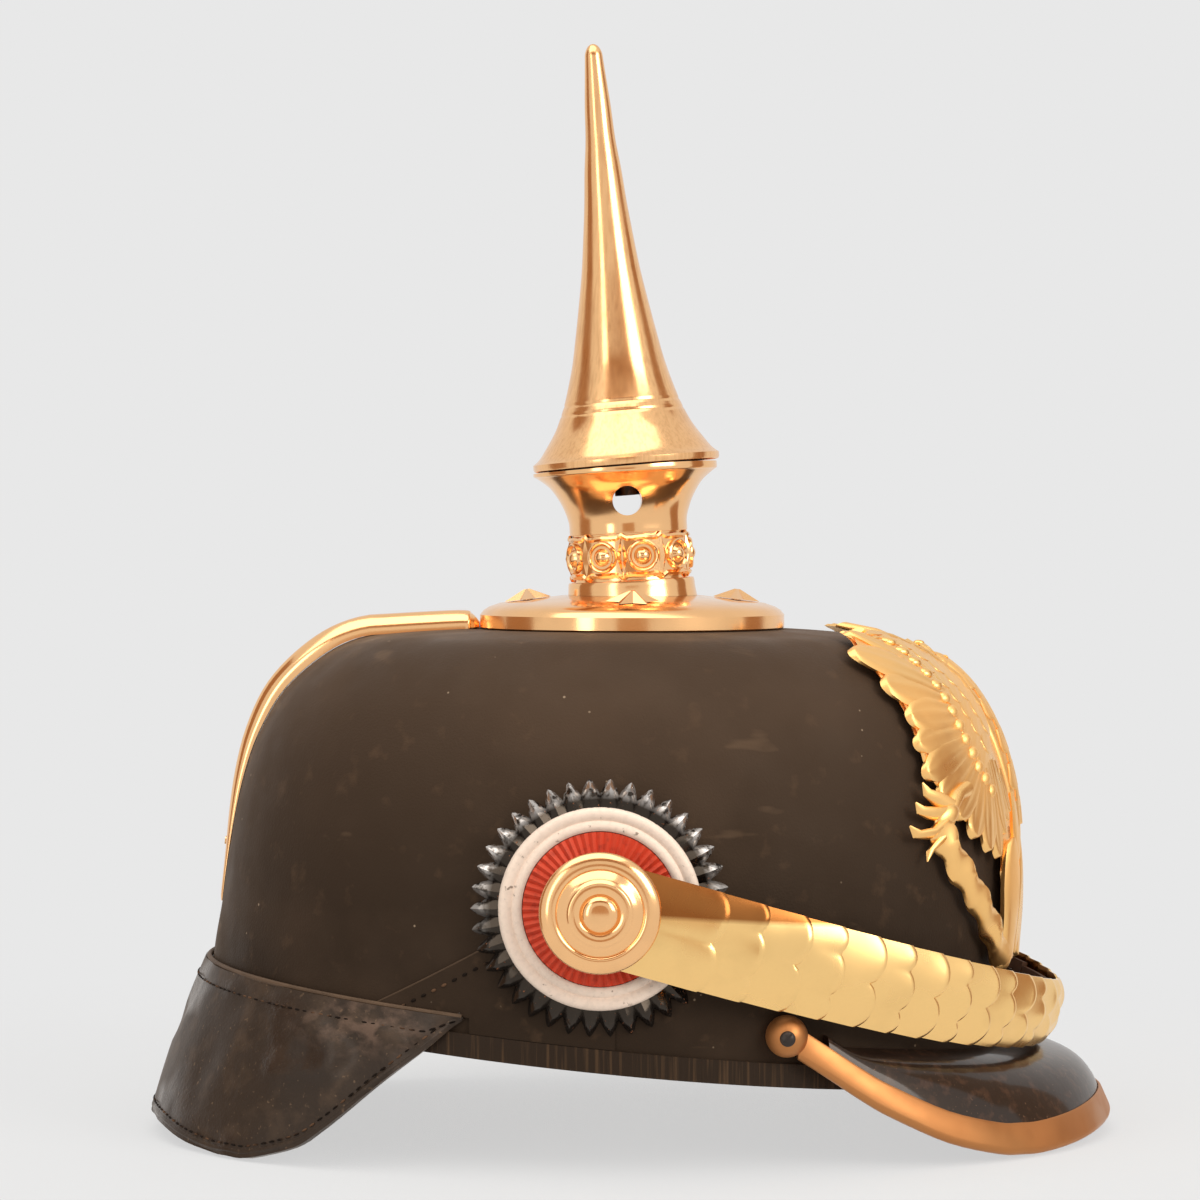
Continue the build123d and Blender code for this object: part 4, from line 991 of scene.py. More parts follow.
disc_middle = 0.3
disc_radius = 44.1
disc_rise = 9.5
disc_sheet = 1.2
disc_shares = ((1, 0.42), (0.975, 0.56), (0.94, 0.66), (0.87, 0.77), (0.465, 1), (0.3, 1))
disc_foot = skull_height + seat_gap
neck_foot = disc_foot + disc_rise + 0.05
neck_lean = radians(3.2)
neck_height = 36.3
neck_wall = 1.3
waist_share = 0.615
flange_radius = 26.6
neck_shares = (
    (0.72, -0.07), (0.695, 0.04), (0.68, 0.12), (waist_share, 0.145), (waist_share, 0.49),
    (0.64, 0.5), (0.645, 0.6), (0.69, 0.71), (0.75, 0.8), (0.835, 0.89), (0.96, 0.965),
    (1, 0.985), (1, 1.035),
)
vent_radius = 4.2
vent_height = 27.3
pearl_count = 9
first_pearl = -78
pearl_turn = 40
pearl_dome = (
    (0, 2.1), (0.7, 2), (1.4, 1.65), (2, 1.1), (2.35, 0.5), (2.6, 0.3), (3.3, 0.35), (3.7, 1),
    (4.05, 1.2), (4.4, 0.95), (4.6, 0.3), (4.6, -0.4), (0, -0.4),
)
band_edge = ((0, 0), (0.9, 0.2), (1.3, 0.9), (0.7, 1.6))
spike_lean = radians(4.6)
spike_length = 122.4
spike_radius = 27
spike_tip = 4.27
spike_foot = Vector((-1.3, 0, 190.6))
spike_rim = [(0, 0), (26.2, 0), (26.8, 0.3), (27, 0.9)]
spike_shares = (
    (1, 0.017), (0.93, 0.03), (0.853, 0.053), (0.737, 0.092), (0.659, 0.129), (0.596, 0.167),
    (0.5, 0.242), (0.43, 0.319), (0.367, 0.395), (0.311, 0.47), (0.2685, 0.546), (0.23, 0.622),
    (0.2, 0.698), (0.161, 0.774), (0.141, 0.85), (0.113, 0.925), (0.098, 0.965),
)
groove_shares = (0.128, 0.15)
groove_depth = 0.22
groove_half = 0.6


def leaning(foot, lean):
    """The matrix of a frame that leans back from a foot point."""
    return axes_matrix(foot, (cos(lean), 0, sin(lean)), (-sin(lean), 0, cos(lean)))


class HELMET_OT_spike(bpy.types.Operator):
    """The polished spike, turned with two fine lines above its rim"""

    bl_idname = "helmet.spike"
    bl_label = "Spike"

    def execute(self, context):
        profile = spike_rim[:]
        for radius, height in smooth_rows(spike_shares, 12):
            groove = min(abs(height - share) for share in groove_shares) * spike_length
            cut_in = groove_depth * max(0, 1 - groove / groove_half)
            profile.append((radius * spike_radius - cut_in, height * spike_length))
        last = profile[-1]
        turns = shares(10, pi / 2)[1:]
        profile += [(last[0] * cos(turn), last[1] + spike_tip * sin(turn)) for turn in turns]
        bm = moved(lathe(profile, 128), leaning(spike_foot, spike_lean))
        finish_piece("spike_shell", bm, "spike_brass", "spike", body="spike_top")
        dress("dark_steel", "spike_stud")
        return {"FINISHED"}


def neck_mesh():
    """The neck's wall, cut off level on the disc and along the spike's seat."""
    side = [(r * flange_radius, h * neck_height) for r, h in smooth_rows(neck_shares, 5)]
    inner = [(r - neck_wall, h) for r, h in side if 2 < h < 0.9 * neck_height]
    profile = [(inner[0][0], side[0][1])] + side + [(0, side[-1][1]), (0, inner[-1][1])] + inner[::-1]
    bm = moved(lathe(profile + profile[:1], 160), leaning((disc_middle, 0, neck_foot), neck_lean))
    bmesh.ops.recalc_face_normals(bm, faces=bm.faces)
    seat = spike_foot - Vector((0, 0, 0.25))
    cut(bm, (0, 0, neck_foot), (0, 0, -1), clear_outer=True)
    fill_holes(bm)
    cut(bm, seat, (-sin(spike_lean), 0, cos(spike_lean)), clear_outer=True)
    fill_holes(bm)
    return bm


def drill_vent(context, shell):
    """Cuts the vent hole through both sides of the neck."""
    bm = bmesh.new()
    radii = {"radius1": vent_radius, "radius2": vent_radius, "depth": 2 * flange_radius + 8}
    bmesh.ops.create_cone(bm, cap_ends=True, segments=48, **radii)
    spot = (disc_middle - vent_height * sin(neck_lean), 0, neck_foot + vent_height)
    scaled(moved(bm, axes_matrix(spot, (1, 0, 0), (0, 1, 0))), MM, MM, MM)
    vent = shell.modifiers.new("vent", "BOOLEAN")
    vent.object = add_object("drill", to_mesh("drill", bm))
    vent.solver = "EXACT"
    drill = vent.object
    context.view_layer.objects.active = shell
    bpy.ops.object.modifier_apply(modifier="vent")
    bpy.data.objects.remove(drill)


def pearl_band():
    """The band round the neck with waved edges, its pearls and the points between them."""
    inner, low, high = waist_share * flange_radius + seat_gap, 0.15 * neck_height, 0.48 * neck_height
    middle = (low + high) / 2
    band = [(inner + out, low + up) for out, up in band_edge]
    band += [(inner + out, high - up) for out, up in band_edge[::-1]]
    bm = lathe(band + band[:1], 288)
    for vert in bm.verts:
        share = (degrees(atan2(vert.co.y, vert.co.x)) - first_pearl + pearl_turn / 2) / pearl_turn % 1
        near = abs(share - 0.5) * 2
        wave = max(0, 2.6 * near - 1.6) + 0.5 * sqrt(max(0, 1 - (near / 0.7) ** 2))
        vert.co.z += copysign(1.5 * wave - 0.5, vert.co.z - middle)
    for index in range(2 * pearl_count):
        angle = radians(first_pearl + pearl_turn * index / 2)
        out = (cos(angle), sin(angle), 0)
        place = axes_matrix((out[0] * (inner + 0.5), out[1] * (inner + 0.5), middle), upright, out)
        take_in(bm, ball(4, 2, 1, 6.4, 1.7, 1.7) if index % 2 else lathe(pearl_dome, 40), place)
    return moved(bm, leaning((disc_middle, 0, neck_foot), neck_lean))


class HELMET_OT_neck(bpy.types.Operator):
    """The vented neck that carries the spike, with its ring of pearls"""

    bl_idname = "helmet.neck"
    bl_label = "Vented neck"

    def execute(self, context):
        drill_vent(context, finish_piece("neck", neck_mesh(), "polished_brass", "vent_neck"))
        finish_piece("pearls", pearl_band(), "polished_brass", "pearl_ring")
        return {"FINISHED"}


class HELMET_OT_disc(bpy.types.Operator):
    """The disc on the crown, with its star studs"""

    bl_idname = "helmet.disc"
    bl_label = "Crown disc"

    def execute(self, context):
        top = [(r * disc_radius, disc_foot + h * disc_rise) for r, h in disc_shares]
        under = [(r - disc_sheet, h - 1.1) for r, h in top[:0:-1]]
        rim = [(disc_radius - 0.5, disc_foot), (disc_radius, disc_foot + 0.4)]
        profile = rim + top + under + [(disc_radius - disc_sheet, disc_foot), rim[0]]
        bm = moved(lathe(profile, 160), Matrix.Translation((disc_middle, 0, 0)))
        finish_piece("disc", bm, "polished_brass", "spike_base", 30)
        dress("polished_brass", "star_studs", "spine_rivet")
        dress("dark_steel", "stud_nuts", "plate_nuts", "post_nuts", "side_posts")
        dress("gilt_trim", "plate_posts")
        return {"FINISHED"}


# Spine: rows of place, rise and width, up the back and then over the crown
spine_rise = 6.2
spine_half_width = 6.5
reed_depth = 0.07
spine_shares = (
    (0.45, 0.08, 0.25), (0.47, 0.14, 0.5), (0.55, 0.2, 0.62), (0.65, 0.4, 0.72), (0.75, 0.62, 0.8),
    (0.84, 0.84, 0.88), (0.91, 0.95, 0.95), (0.96, 1, 1), (0.987, 1, 1),
)
spine_end_shares = ((0, 1, 1), (0.8, 0.94, 0.95), (0.93, 0.72, 0.8), (1, 0.3, 0.45))


def skull_back(height):
    """The skull's back point and outward normal in the middle plane."""
    length, _, middle = skull_size(height)
    step = 0.2
    fall = skull_size(height - step)[0] - skull_size(height + step)[0]
    size = hypot(2 * step, fall)
    return (middle - length, height), (-2 * step / size, fall / size)


def spine_sections():
    """The spine's reeded sections, from low on the back up to the disc."""
    stations = []
    for height, rise, width in smooth_rows(spine_shares, 5):
        stations.append((*skull_back(height * skull_height), rise, width))
    last = stations[-1][0]
    goal = (disc_middle - disc_radius - seat_gap, disc_foot)
    for part, rise, width in smooth_rows(spine_end_shares, 6)[1:]:
        stations.append((part_way(last, goal, part), (0, 1), rise, width))
    sections = []
    for foot, normal, rise, width in stations:
        section = []
        for turn in shares(32, pi):
            reed = 1 - reed_depth * (sin(turn) ** 2) * (1 - cos(6 * turn)) / 2
            up = rise * spine_rise * sin(turn) ** 0.8 * reed + 0.15
            across = -width * spine_half_width * cos(turn)
            section.append((foot[0] + normal[0] * up, across, foot[1] + normal[1] * up))
        sections.append(section)
    return sections


class HELMET_OT_spine(bpy.types.Operator):
    """The reeded brass spine down the back of the skull"""

    bl_idname = "helmet.spine"
    bl_label = "Rear spine"

    def execute(self, context):
        finish_piece("spine", skin(spine_sections()), "polished_brass", "rear_spine", 50)
        return {"FINISHED"}


# Cockades and bosses

cockade_start = 92.85
cockade_teeth = 38
cloth_ribs = 60
cockade_ring = (
    (20.8, 0), (20.8, 0.8), (21.3, 1.3), (22.2, 1.5), (23.1, 1.2), (23.6, 0.75), (24.2, 1.15),
    (25.2, 1.5), (26.2, 1.35), (26.9, 0.8), (27.1, 0.2), (27.1, 0), (20.8, 0),
)
boss_seat = 104.6
boss_rows = (
    (2.6, 0), (15.9, 0), (16.1, 0.25), (16.1, 1.1), (15.8, 1.6), (15.1, 2.2), (14, 2.7),
    (12.6, 3.0), (11.9, 2.85), (11.5, 2.5), (11.1, 2.75), (10.2, 3.5), (9.2, 4.1), (8.7, 4.3),
    (8.5, 4.75), (8.1, 4.95), (5.5, 4.95), (5.2, 4.6), (4.9, 4.8), (4.6, 5.5), (3.8, 6.1),
    (2.4, 6.35), (0, 6.4),
)


def side_frame(side, out=0):
    """The matrix of a frame at a side post, its Z pointing out, moved out by a distance."""
    return axes_matrix((post_x, side * out, post_z), (1, 0, 0), (0, side, 0))


def fluted(inner, outer, steps, teeth, depth, thickness, point=0.0, curl=0.0):
    """A flat ring with radial flutes that deepen outwards, its edge pointed and curled."""
    bm = lathe([(inner + run, 0) for run in shares(steps, outer - inner)], teeth * 8)
    for vert in bm.verts:
        radius, turn = hypot(vert.co.x, vert.co.y), atan2(vert.co.y, vert.co.x)
        share = (radius - inner) / (outer - inner)
        wave = abs(((turn * teeth / pi) % 2) - 1)
        end = max(0, (share - 0.6) / 0.4) ** 2
        height = depth * (0.25 + 0.75 * share) * (wave - 0.5) * (1 - 0.6 * end * bool(curl)) + curl * end
        longer = 1 - point * share**3 * (1 - wave) ** 1.4
        vert.co = (vert.co.x * longer, vert.co.y * longer, height)
    return thicken(bm, thickness)


class HELMET_OT_cockades(bpy.types.Operator):
    """The fluted cockades on both sides, black, white and red on the right"""

    bl_idname = "helmet.cockades"
    bl_label = "Cockades"

    def execute(self, context):
        start = cockade_start + 1.55
        for side, name in side_names.items():
            disc = fluted(22, 34.6, 16, cockade_teeth, depth=2.3, thickness=0.45, point=0.12, curl=-2.1)
            ring = lathe(cockade_ring, 128, start)
            centre = fluted(3, 20.6, 6, cloth_ribs, depth=0.7, thickness=0.3)
            red = "red_cloth" if name == "right" else "black_enamel"
            for piece, part, bm, out, finish, sharp in (
                ("flutes", "disc", disc, cockade_start + 1.35, "black_enamel", 25),
                ("ring", "ring", ring, 0, "white_enamel", 40),
                ("centre", "centre", centre, start + 0.6, red, 60),
            ):
                moved(bm, side_frame(side, out))
                finish_piece(f"{name}_{piece}", bm, finish, f"{name}_cockade_{part}", sharp)
        return {"FINISHED"}


class HELMET_OT_bosses(bpy.types.Operator):
    """The turned bosses that hold the chin strap"""

    bl_idname = "helmet.bosses"
    bl_label = "Bosses"

    def execute(self, context):
        for side, name in side_names.items():
            bm = lathe(boss_rows, 96, boss_seat)
            fill_holes(bm)
            finish_piece(f"{name}_stud", moved(bm, side_frame(side)), "polished_brass", f"{name}_boss", 50)
        return {"FINISHED"}


# Chin strap. Lengths run along the strap from the post, on the right half

strap_lean = radians(16)
strap_forward = Vector((cos(strap_lean), 0, -sin(strap_lean)))
strap_up = Vector((sin(strap_lean), 0, cos(strap_lean)))
strap_reach = 133
strap_half_width = 98.5
strap_root_width = 28
strap_taper = 10.5
path_offset = 2.5
path_steps = 400
first_scale = 33.4
scale_count = 16
pitch_taper = 0.18
scale_base = 1.9
scale_lift = 1.15
scale_arch = 2
scale_sheet = 0.6
scale_lap = 3
lobe_depth = 2.8
waist = 0.23
wire_place = 0.22
wire_bend = 1.3
links = ((0, 1), (1, 4), (4, 7), (7, 10), (10, 13), (13, 16))


def strap_spot(turn, offset):
    """A point of the strap's curve in its own plane, at an offset from the inner face."""
    run, side = strap_reach * cos(turn), strap_half_width * sin(turn)
    size = hypot(run, side)
    x = strap_reach * sin(turn) + offset * strap_half_width * sin(turn) / size
    return x, -strap_half_width * cos(turn) - offset * strap_reach * cos(turn) / size


def running_total(first, steps):
    """The first number and what it grows to with each step."""
    totals = [first]
    for step in steps:
        totals.append(totals[-1] + step)
    return totals


# The curve's length at equal steps of its angle, and the lengths of the scales' front edges
path = [strap_spot(turn, path_offset) for turn in shares(path_steps, pi / 2)]
path_lengths = running_total(0, [hypot(b[0] - a[0], b[1] - a[1]) for a, b in zip(path, path[1:])])
strap_end = path_lengths[-1] - 0.6
pitch = (strap_end - first_scale) / (scale_count - 1)
tips = running_total(first_scale, [pitch * (1 + pitch_taper * (1 - i / 7)) for i in range(scale_count - 1)])


def strap_point(length, offset):
    """A point of the right half in space."""
    index = max(min(sum(1 for step in path_lengths if step < length), path_steps), 1)
    low, high = path_lengths[index - 1], path_lengths[index]
    turn = pi / 2 * (index - 1 + (length - low) / (high - low)) / path_steps
    x, y = strap_spot(turn, offset)
    return Vector((post_x, 0, post_z)) + strap_forward * x + Vector((0, y, 0))


def strap_width(length):
    """The strap's width, narrowing towards the front."""
    return strap_root_width - strap_taper * (length / strap_end) ** 1.6


def scale_mesh(index):
    """One arched scale with a lobed and slightly puffed front edge."""
    root_length = tips[index - 1] - scale_lap if index else 0
    root = strap_point(root_length, scale_base + (0 if index else 0.3))
    along = strap_point(tips[index], scale_base + scale_lift) - root
    length, along = along.length, along.normalized()
    out = along.cross(strap_up)
    width = strap_width(tips[index])
    half = width / 2
    ends = (-half, -waist * width, waist * width, half) if index % 2 else (-half, 0, half)
    sections = []
    for column in shares(32, width):
        across = column - half
        low, high = [pair for pair in zip(ends, ends[1:]) if pair[0] <= across + 0.001][-1]
        place = 2 * (across - low) / (high - low) - 1
        lobe = max(0, 1 - place**2) ** 0.7
        front = length - lobe_depth + lobe_depth * min(1, (high - low) / half) * lobe
        back = 0 if index else -sqrt(max(0, half**2 - across**2))
        top, under = [], []
        for step in shares(14):
            run = back + (front - back) * (1 - (1 - step) ** 1.6)
            edge = min(1, (front - run) / 1.5)
            swell = 0.75 * lobe * max(0, run / length) ** 3
            height = scale_arch * (1 - (across / half) ** 2) + swell - 0.5 * (1 - edge) ** 2
            spot = root + along * run + strap_up * across
            top.append(spot + out * (height + scale_sheet))
            under.append(spot + out * height)
        sections.append(top + under[::-1])
    return skin(sections)


def wire_mesh(middle, across):
    """A wire loop that holds a scale to the backing, at a share across the strap."""
    loop = []
    for turn in shares(8, pi):
        spot = strap_point(middle + wire_bend * cos(turn), 0.3 - wire_bend * sin(turn))
        loop.append(spot + strap_up * across * strap_width(middle))
    return pipe(loop, 0.32, 6)


class HELMET_OT_scales(bpy.types.Operator):
    """The chin strap's brass scales, in links that bend on their leather backing"""

    bl_idname = "helmet.scales"
    bl_label = "Chin strap"

    def execute(self, context):
        for side, name in side_names.items():
            mirror = Matrix.Diagonal((1, -side, 1, 1))
            for number, (first, last) in enumerate(links, start=1):
                scales, wires = bmesh.new(), bmesh.new()
                for index in range(first, last):
                    take_in(scales, scale_mesh(index), mirror)
                    for across in (-wire_place, wire_place):
                        take_in(wires, wire_mesh(tips[index] - 7, across), mirror)
                link, node = f"{name}_link_{number}", f"{name}_scales_{number}"
                finish_piece(node + "_brass", scales, "scale_brass", node, 40, link)
                finish_piece(f"{name}_wires_{number}", wires, "dark_steel", body=link)
                dress("strap_leather", f"{name}_backing_{number}")
        dress("dark_steel", "strap_buckle")
        dress("strap_leather", "strap_tongue")
        return {"FINISHED"}


# Front plate. It is drawn flat, in shares of its half width and its rise, and laid over
# the skull. The drawing's plane leans back by its own angle

plate_lean = radians(28)
plate_half_width = 68
plate_rise = 102
sheet_low = 2.6
sheet_high = 3.3
wing_outline = (
    (0.15, 0.63), (0.27, 0.78), (0.45, 0.945), (0.53, 0.975), (0.62, 0.92), (0.71, 0.9), (0.72, 0.86),
    (0.77, 0.79), (0.76, 0.75), (0.79, 0.69), (0.8, 0.64), (0.83, 0.6), (0.845, 0.54), (0.81, 0.48),
    (0.78, 0.43), (0.73, 0.375), (0.66, 0.315), (0.58, 0.26), (0.53, 0.24), (0.44, 0.29), (0.31, 0.315),
    (0.29, 0.42), (0.305, 0.5), (0.35, 0.585), (0.335, 0.6), (0.27, 0.52), (0.245, 0.44), (0.235, 0.335),
    (0.17, 0.36), (0.13, 0.49),
)
body_outline = (
    (0, -0.085), (0.1, -0.085), (0.19, -0.06), (0.3, -0.055), (0.44, -0.045), (0.49, 0.09), (0.5, 0.18),
    (0.42, 0.22), (0.31, 0.21), (0.25, 0.17), (0.18, 0.22), (0.15, 0.3), (0.19, 0.4), (0.17, 0.56),
    (0.13, 0.63), (0.07, 0.665), (0.085, 0.72), (0.07, 0.76), (0.12, 0.79), (0.1, 0.82), (0, 0.85),
)
# Feathers: base, tip, and width in millimetres
wing_feathers = (
    ((0.5, 0.74), (0.55, 0.97), 8.5), ((0.51, 0.7), (0.735, 0.922), 13.5), ((0.52, 0.66), (0.792, 0.805), 13.5),
    ((0.54, 0.62), (0.813, 0.698), 12), ((0.56, 0.58), (0.85, 0.622), 10), ((0.56, 0.54), (0.872, 0.54), 10.5),
    ((0.56, 0.5), (0.84, 0.462), 10.5), ((0.55, 0.47), (0.785, 0.39), 10), ((0.53, 0.45), (0.71, 0.315), 10),
    ((0.5, 0.45), (0.625, 0.255), 9.5), ((0.46, 0.46), (0.54, 0.22), 8.5), ((0.41, 0.46), (0.455, 0.262), 7),
    ((0.36, 0.45), (0.38, 0.285), 6.5), ((0.32, 0.42), (0.32, 0.3), 5),
)
tail_feathers = (
    ((0.1, 0.17), (0.33, -0.055), 8.5), ((0.08, 0.18), (0.23, -0.07), 8.5), ((0.05, 0.19), (0.12, -0.085), 8.5)
)
arm_line = ((0.17, 0.56), (0.24, 0.73), (0.36, 0.87), (0.47, 0.95))
arm_edge = ((0.14, 0.6), (0.2, 0.7), (0.29, 0.81), (0.39, 0.9), (0.47, 0.955))
bead_line = ((0.5, 0.37), (0.57, 0.47), (0.585, 0.56), (0.57, 0.64), (0.535, 0.74), (0.49, 0.85), (0.47, 0.91))
sceptre_line = ((0.885, 0.4), (0.87, 0.34), (0.815, 0.25), (0.7, 0.125), (0.585, 0.02), (0.5, -0.04))
leg_line = ((0.72, 0.44), (0.78, 0.44), (0.85, 0.41))
toes = (
    ((0.83, 0.43), (0.87, 0.47), (0.9, 0.495), (0.905, 0.525)),
    ((0.85, 0.42), (0.905, 0.44), (0.945, 0.465), (0.955, 0.49)),
    ((0.86, 0.4), (0.93, 0.395), (0.98, 0.415), (0.998, 0.445)),
    ((0.84, 0.4), (0.89, 0.365), (0.945, 0.355), (0.962, 0.335)),
)
# Breast, in millimetres: half width, half height, middle's height and depth
breast_width = 11.5
breast_height = 33
breast_middle = 49
breast_depth = 3
# Neck, head, eye and top of the crown: place, size, height and flatness
head_knobs = (((0, 71), 4.6, 3.2, 0.5), ((-1, 76), 4.3, 3.4, 0.55), ((-2.4, 77), 0.7, 5.6, 0.6), ((0, 84), 1.2, 3.9))


def drawn(side, *points):
    """Points of the drawing in millimetres, on one side of the middle."""
    return [(side * x * plate_half_width, y * plate_rise) for x, y in points]


def raised(points, height):
    """The drawing's points with a height."""
    return [(x, y, height) for x, y in points]


def leaf(base, tip, width, low, high, grooves=0.16, lift=lambda spot: 0):
    """A closed feather from a narrow base to a round tip, domed and grooved."""
    base, tip = Vector(base), Vector(tip)
    run = tip - base
    side = Vector((-run.y, run.x)).normalized()
    sections = []
    for turn in shares(12, pi / 2):
        share = sin(turn)
        reach = sqrt(max(0, 1 - ((share - 0.6) / 0.4) ** 2)) if share > 0.6 else 0.55 + 0.75 * share
        half = max(width / 2 * reach, 0.03)
        section = []
        for across in [1 - step for step in shares(12, 2)] + [-0.85, 0.85]:
            dome = sqrt(max(0, 1 - across**2))
            height = low + (high - low) * (0.4 + 0.6 * dome)
            height += grooves * (cos(3 * pi * across) - 1) / 2 * dome * (1 - share**6)
            if len(section) > 12:
                height = low - 0.4
            spot = base + run * share + side * across * half
            section.append((spot.x, spot.y, height + lift(spot)))
        sections.append(section)
    return skin(sections)


def knob(place, size, height, flat=1.0):
    """A ball or bead at a place of the drawing."""
    return moved(ball(16, 10, size, 1, 1, flat), Matrix.Translation((*place, height)))


def breast(spot):
    """How far the body stands above its sheet."""
    share = (spot.x / breast_width) ** 2 + ((spot.y - breast_middle) / breast_height) ** 2
    return breast_depth * sqrt(max(0, 1 - share))


def wing_mesh(side):
    """One wing, its feathers laid from the outside in."""
    bm = sheet(drawn(side, *wing_outline), sheet_low, sheet_high)
    for index, (base, tip, width) in enumerate(wing_feathers):
        low = 3.1 + 0.14 * (index % 2)
        take_in(bm, leaf(*drawn(side, base, tip), width, low, low + 1.2, 0.3))
    for row, share in enumerate((0.98, 0.7, 0.42)):
        low = 3.4 + 0.2 * row
        for part in [(index + 0.5) / 9 for index in range(9)]:
            inner, outer = along_line(arm_line, part), along_line(bead_line, 0.08 + 0.9 * part)
            spots = [part_way(inner, outer, reach) for reach in (share - 0.42, share)]
            take_in(bm, leaf(*drawn(side, *spots), 8.4, low, low + 0.9, 0.15))
    for place, _ in spaced(raised(drawn(side, *bead_line), 0), 4.4):
        take_in(bm, knob(place.xy, 1.9, 4, 0.7))
    take_in(bm, pipe(raised(drawn(side, *arm_edge), 3.4), [1.9, 1.9, 1.8, 1.6, 1.2], 12))
    return bm


def claw_mesh(side):
    """A claw with four toes round a twisted rod, which ends in a ball."""
    bm = knob(*drawn(side, leg_line[-1]), 3, 4.2, 0.7)
    for toe in toes:
        take_in(bm, pipe(raised(drawn(side, *toe), 4), [1.8, 1.3, 0.8, 0.12]))
    take_in(bm, pipe(raised(drawn(side, *leg_line), 3.9), [2.4, 2.2, 2]))
    rod = drawn(side, *[along_line(sceptre_line, share) for share in shares(60)])
    take_in(bm, pipe(raised(rod, 4), 2, 12, 0.55))
    take_in(bm, knob(*drawn(side, (0.49, -0.045)), 2.5, 4, 0.8))
    if side > 0:
        take_in(bm, knob(*drawn(side, (0.885, 0.43)), 4, 4.2, 0.7))
    return bm


def body_mesh():
    """The body with its breast feathers, tail, head and crown."""
    half = drawn(1, *body_outline)
    bm = sheet(half + [(-x, y) for x, y in half[-2:0:-1]], sheet_low, sheet_high)
    for side in (-1, 1):
        for base, tip, width in tail_feathers:
            take_in(bm, leaf(*drawn(side, base, tip), width, 3.2, 4.5))
        take_in(bm, leaf(*drawn(side, (0.465, -0.05), (0.41, 0.24)), 13.5, 3.3, 5.6, 0))
        take_in(bm, leaf(*drawn(side, (0.1, 0.33), (0.34, 0.17)), 9, 3.3, 4.9))
    take_in(bm, leaf((0, 20), (0, -8.5), 9, 3.4, 4.9))
    belly = ball(40, 24, 1, breast_width, breast_height, breast_depth)
    take_in(bm, belly, Matrix.Translation((0, breast_middle, 3.4)))
    for row in range(10):
        height = 26 + 5.2 * row
        count = 4 - row % 2
        reach = 11 * sqrt(max(0, 1 - ((height - breast_middle) / breast_height) ** 2))
        for across in [(index - (count - 1) / 2) * 5 for index in range(count)]:
            if abs(across) < reach:
                take_in(bm, leaf((across, height + 5), (across, height - 2.4), 5.4, 3.2, 4.1, 0.1, breast))
    for words in head_knobs:
        take_in(bm, knob(*words))
    take_in(bm, pipe(((-4, 76.4, 3.8), (-6.6, 76, 3.7), (-8, 74.4, 3.4)), [1.6, 1.1, 0.4]))
    take_in(bm, pipe([(x, 79.2 + 0.02 * x**2, 3.7) for x in (-6.2, -4, -2, 0, 2, 4, 6.2)], 0.9))
    take_in(bm, pipe([(0, 79.5, 3.8), (0, 81.6, 4.1), (0, 83.6, 4.1)], 0.7, 8))
    for across in (-5.4, 5.4):
        arch = [(across * share, 83.6 - 4.2 * share**2, 3.7 + 0.4 * (1 - share)) for share in (1, 0.8, 0.5, 0)]
        take_in(bm, pipe(arch, 0.7, 8))
    return bm


class HELMET_OT_plate(bpy.types.Operator):
    """The gilt front plate, a spread eagle in raised work with no lettering"""

    bl_idname = "helmet.plate"
    bl_label = "Front plate"

    def execute(self, context):
        out = Vector((cos(plate_lean), 0, sin(plate_lean)))
        wrap = Wrap(out * 80, (0, 1, 0), (-sin(plate_lean), 0, cos(plate_lean)), out)
        bm = body_mesh()
        for side in (-1, 1):
            take_in(bm, wing_mesh(side))
            take_in(bm, claw_mesh(side))
        finish_piece("eagle", wrap.lay(bm), "gilt_plate", "front_plate", 40)
        return {"FINISHED"}


# Stage

stage_aim = (0, 0, 0.12)
camera_place = (-0.009, -1.1, 0.1735)
camera_tilt = radians(-1.133)
camera_lens = 113.8
warm_white = (1, 0.95, 0.89)


def plain_material(name, colour, glow=0.0):
    """A plain stage material, which shines by itself if it has a glow."""
    material = bpy.data.materials.new(name)
    material.use_nodes = True
    values = {"Base Color": (*shade(colour, 1 - glow), 1), "Roughness": 0.9}
    values.update({"Emission Color": (*colour, 1), "Emission Strength": glow})
    wire(material.node_tree, material.node_tree.nodes["Principled BSDF"], values)
    return material


def stage_plane(name, material, place, aim, width, height):
    """A flat stage panel that faces a point."""
    bm = bmesh.new()
    bmesh.ops.create_grid(bm, x_segments=1, y_segments=1, size=0.5)
    place = Vector(place)
    facing = (Vector(aim) - place).to_track_quat("Z", "Y").to_matrix().to_4x4()
    moved(scaled(bm, width, height, 1), Matrix.Translation(place) @ facing)
    panel = add_object(name, to_mesh(name, bm))
    panel.data.materials.append(material)
    return panel


def lamp(name, place, width, height, power):
    """An area lamp that points at the helmet."""
    light = bpy.data.lights.new(name, "AREA")
    light.shape = "RECTANGLE"
    light.size, light.size_y = width, height
    light.energy = power
    light.color = warm_white
    holder = add_object(name, light)
    holder.location = place
    holder.rotation_euler = (Vector(place) - Vector(stage_aim)).to_track_quat("Z", "Y").to_euler()
    holder.visible_camera = False


def build_world(scene):
    """A pale backdrop for the camera and for reflections, and softer light."""
    scene.world = bpy.data.worlds.new("studio")
    scene.world.use_nodes = True
    tree = scene.world.node_tree
    path = tree.nodes.new("ShaderNodeLightPath")
    seen = path.outputs["Is Camera Ray"]
    for name in ("Is Glossy Ray", "Is Transmission Ray"):
        seen = add_node(tree, "Math", {0: seen, 1: path.outputs[name]}, operation="ADD", use_clamp=True)
    values = {"Factor": seen, "A": (0.52, 0.5, 0.48, 1), "B": (0.807, 0.807, 0.807, 1)}
    colour = add_node(tree, "Mix", values, "Result", data_type="RGBA")
    wire(tree, tree.nodes["Background"], {"Color": colour})


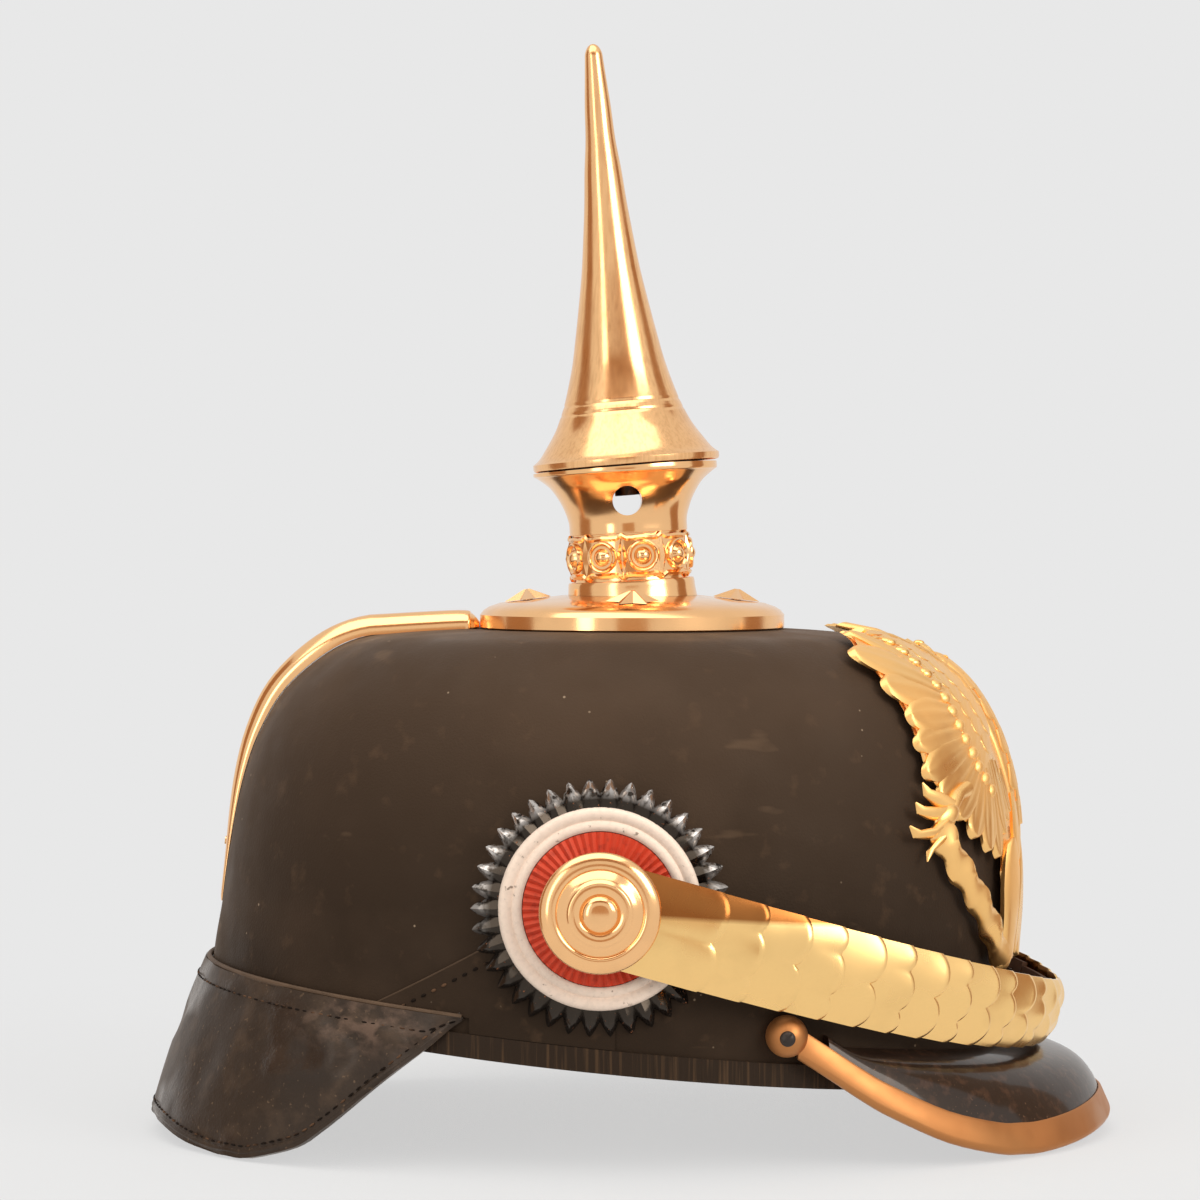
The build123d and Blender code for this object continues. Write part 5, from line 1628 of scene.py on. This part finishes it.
def build_floor():
    """A pale floor that fades into the backdrop."""
    material = plain_material("floor", (0.78, 0.8, 0.82))
    tree = material.node_tree
    place = add_node(tree, "TexCoord", {}, "Object")
    length = add_node(tree, "VectorMath", {0: place}, "Value", operation="LENGTH")
    fade = add_node(tree, "MapRange", {"Value": length, "From Min": 0.13, "From Max": 0.4, "To Min": 0.72})
    clear = add_node(tree, "BsdfTransparent", {})
    pale = tree.nodes["Principled BSDF"].outputs["BSDF"]
    surface = add_node(tree, "MixShader", {"Fac": fade, 1: pale, 2: clear})
    wire(tree, tree.nodes["Material Output"], {"Surface": surface})
    stage_plane("floor", material, (0, 0, -0.0004), (0, 0, 1), 1.2, 1.2)


class HELMET_OT_stage(bpy.types.Operator):
    """The pale floor and backdrop, soft lamps, dark reflected panels and the camera"""

    bl_idname = "helmet.stage"
    bl_label = "Stage"

    def execute(self, context):
        scene = context.scene
        scene.view_settings.view_transform = "Standard"
        build_world(scene)
        build_floor()
        lamp("top", (-0.25, -0.6, 1.7), 2.2, 1.8, 21)
        lamp("left", (-0.95, -1.35, 0.45), 0.35, 1.1, 3.2)
        lamp("right", (1.2, -1.1, 0.8), 0.9, 0.9, 13)
        brown = plain_material("brown_panel", (0.36, 0.2, 0.11), 1.0)
        tan = plain_material("tan_panel", (0.5, 0.32, 0.2), 1.0)
        for name, finish, place, width, height in (
            ("panel_left", brown, (-1.25, 0.1, 0.3), 0.7, 1.5),
            ("panel_right", brown, (1.3, 0.3, 0.3), 0.55, 1.5),
            ("panel_over", brown, (0, -1.3, 1.08), 2.0, 0.5),
            ("panel_front", tan, (0, -1.7, 0.16), 0.7, 0.42),
        ):
            panel = stage_plane(name, finish, place, stage_aim, width, height)
            panel.visible_camera = panel.visible_diffuse = panel.visible_shadow = False
        lens = bpy.data.cameras.new("view")
        lens.lens = camera_lens
        lens.sensor_width = 36
        scene.camera = add_object("view", lens)
        scene.camera.location = camera_place
        scene.camera.rotation_euler = (pi / 2 + camera_tilt, 0, 0)
        return {"FINISHED"}


operators = (
    HELMET_OT_skull, HELMET_OT_rim, HELMET_OT_visor, HELMET_OT_trim, HELMET_OT_neck_guard,
    HELMET_OT_overlays, HELMET_OT_spike, HELMET_OT_neck, HELMET_OT_disc, HELMET_OT_spine,
    HELMET_OT_cockades, HELMET_OT_bosses, HELMET_OT_scales, HELMET_OT_plate, HELMET_OT_stage,
)


class HELMET_PT_panel(bpy.types.Panel):
    """Lists the helmet's settings and pieces"""

    bl_idname = "HELMET_PT_panel"
    bl_label = "Spiked helmet"
    bl_space_type = "VIEW_3D"
    bl_region_type = "UI"
    bl_category = "Helmet"

    def draw(self, context):
        for name in HelmetSettings.__annotations__:
            self.layout.prop(context.scene.helmet_settings, name)
        for operator in operators:
            self.layout.operator(operator.bl_idname)


def register():
    for made in (HelmetSettings, *operators, HELMET_PT_panel):
        bpy.utils.register_class(made)
    bpy.types.Scene.helmet_settings = PointerProperty(type=HelmetSettings)


def unregister():
    del bpy.types.Scene.helmet_settings
    for made in (HELMET_PT_panel, *reversed(operators), HelmetSettings):
        bpy.utils.unregister_class(made)


def main():
    """Builds the helmet and its stage."""
    register()
    build_materials(bpy.context.scene.helmet_settings)
    for operator in operators:
        getattr(bpy.ops.helmet, operator.bl_idname.split(".")[1])()


if __name__ == "__main__":
    main()
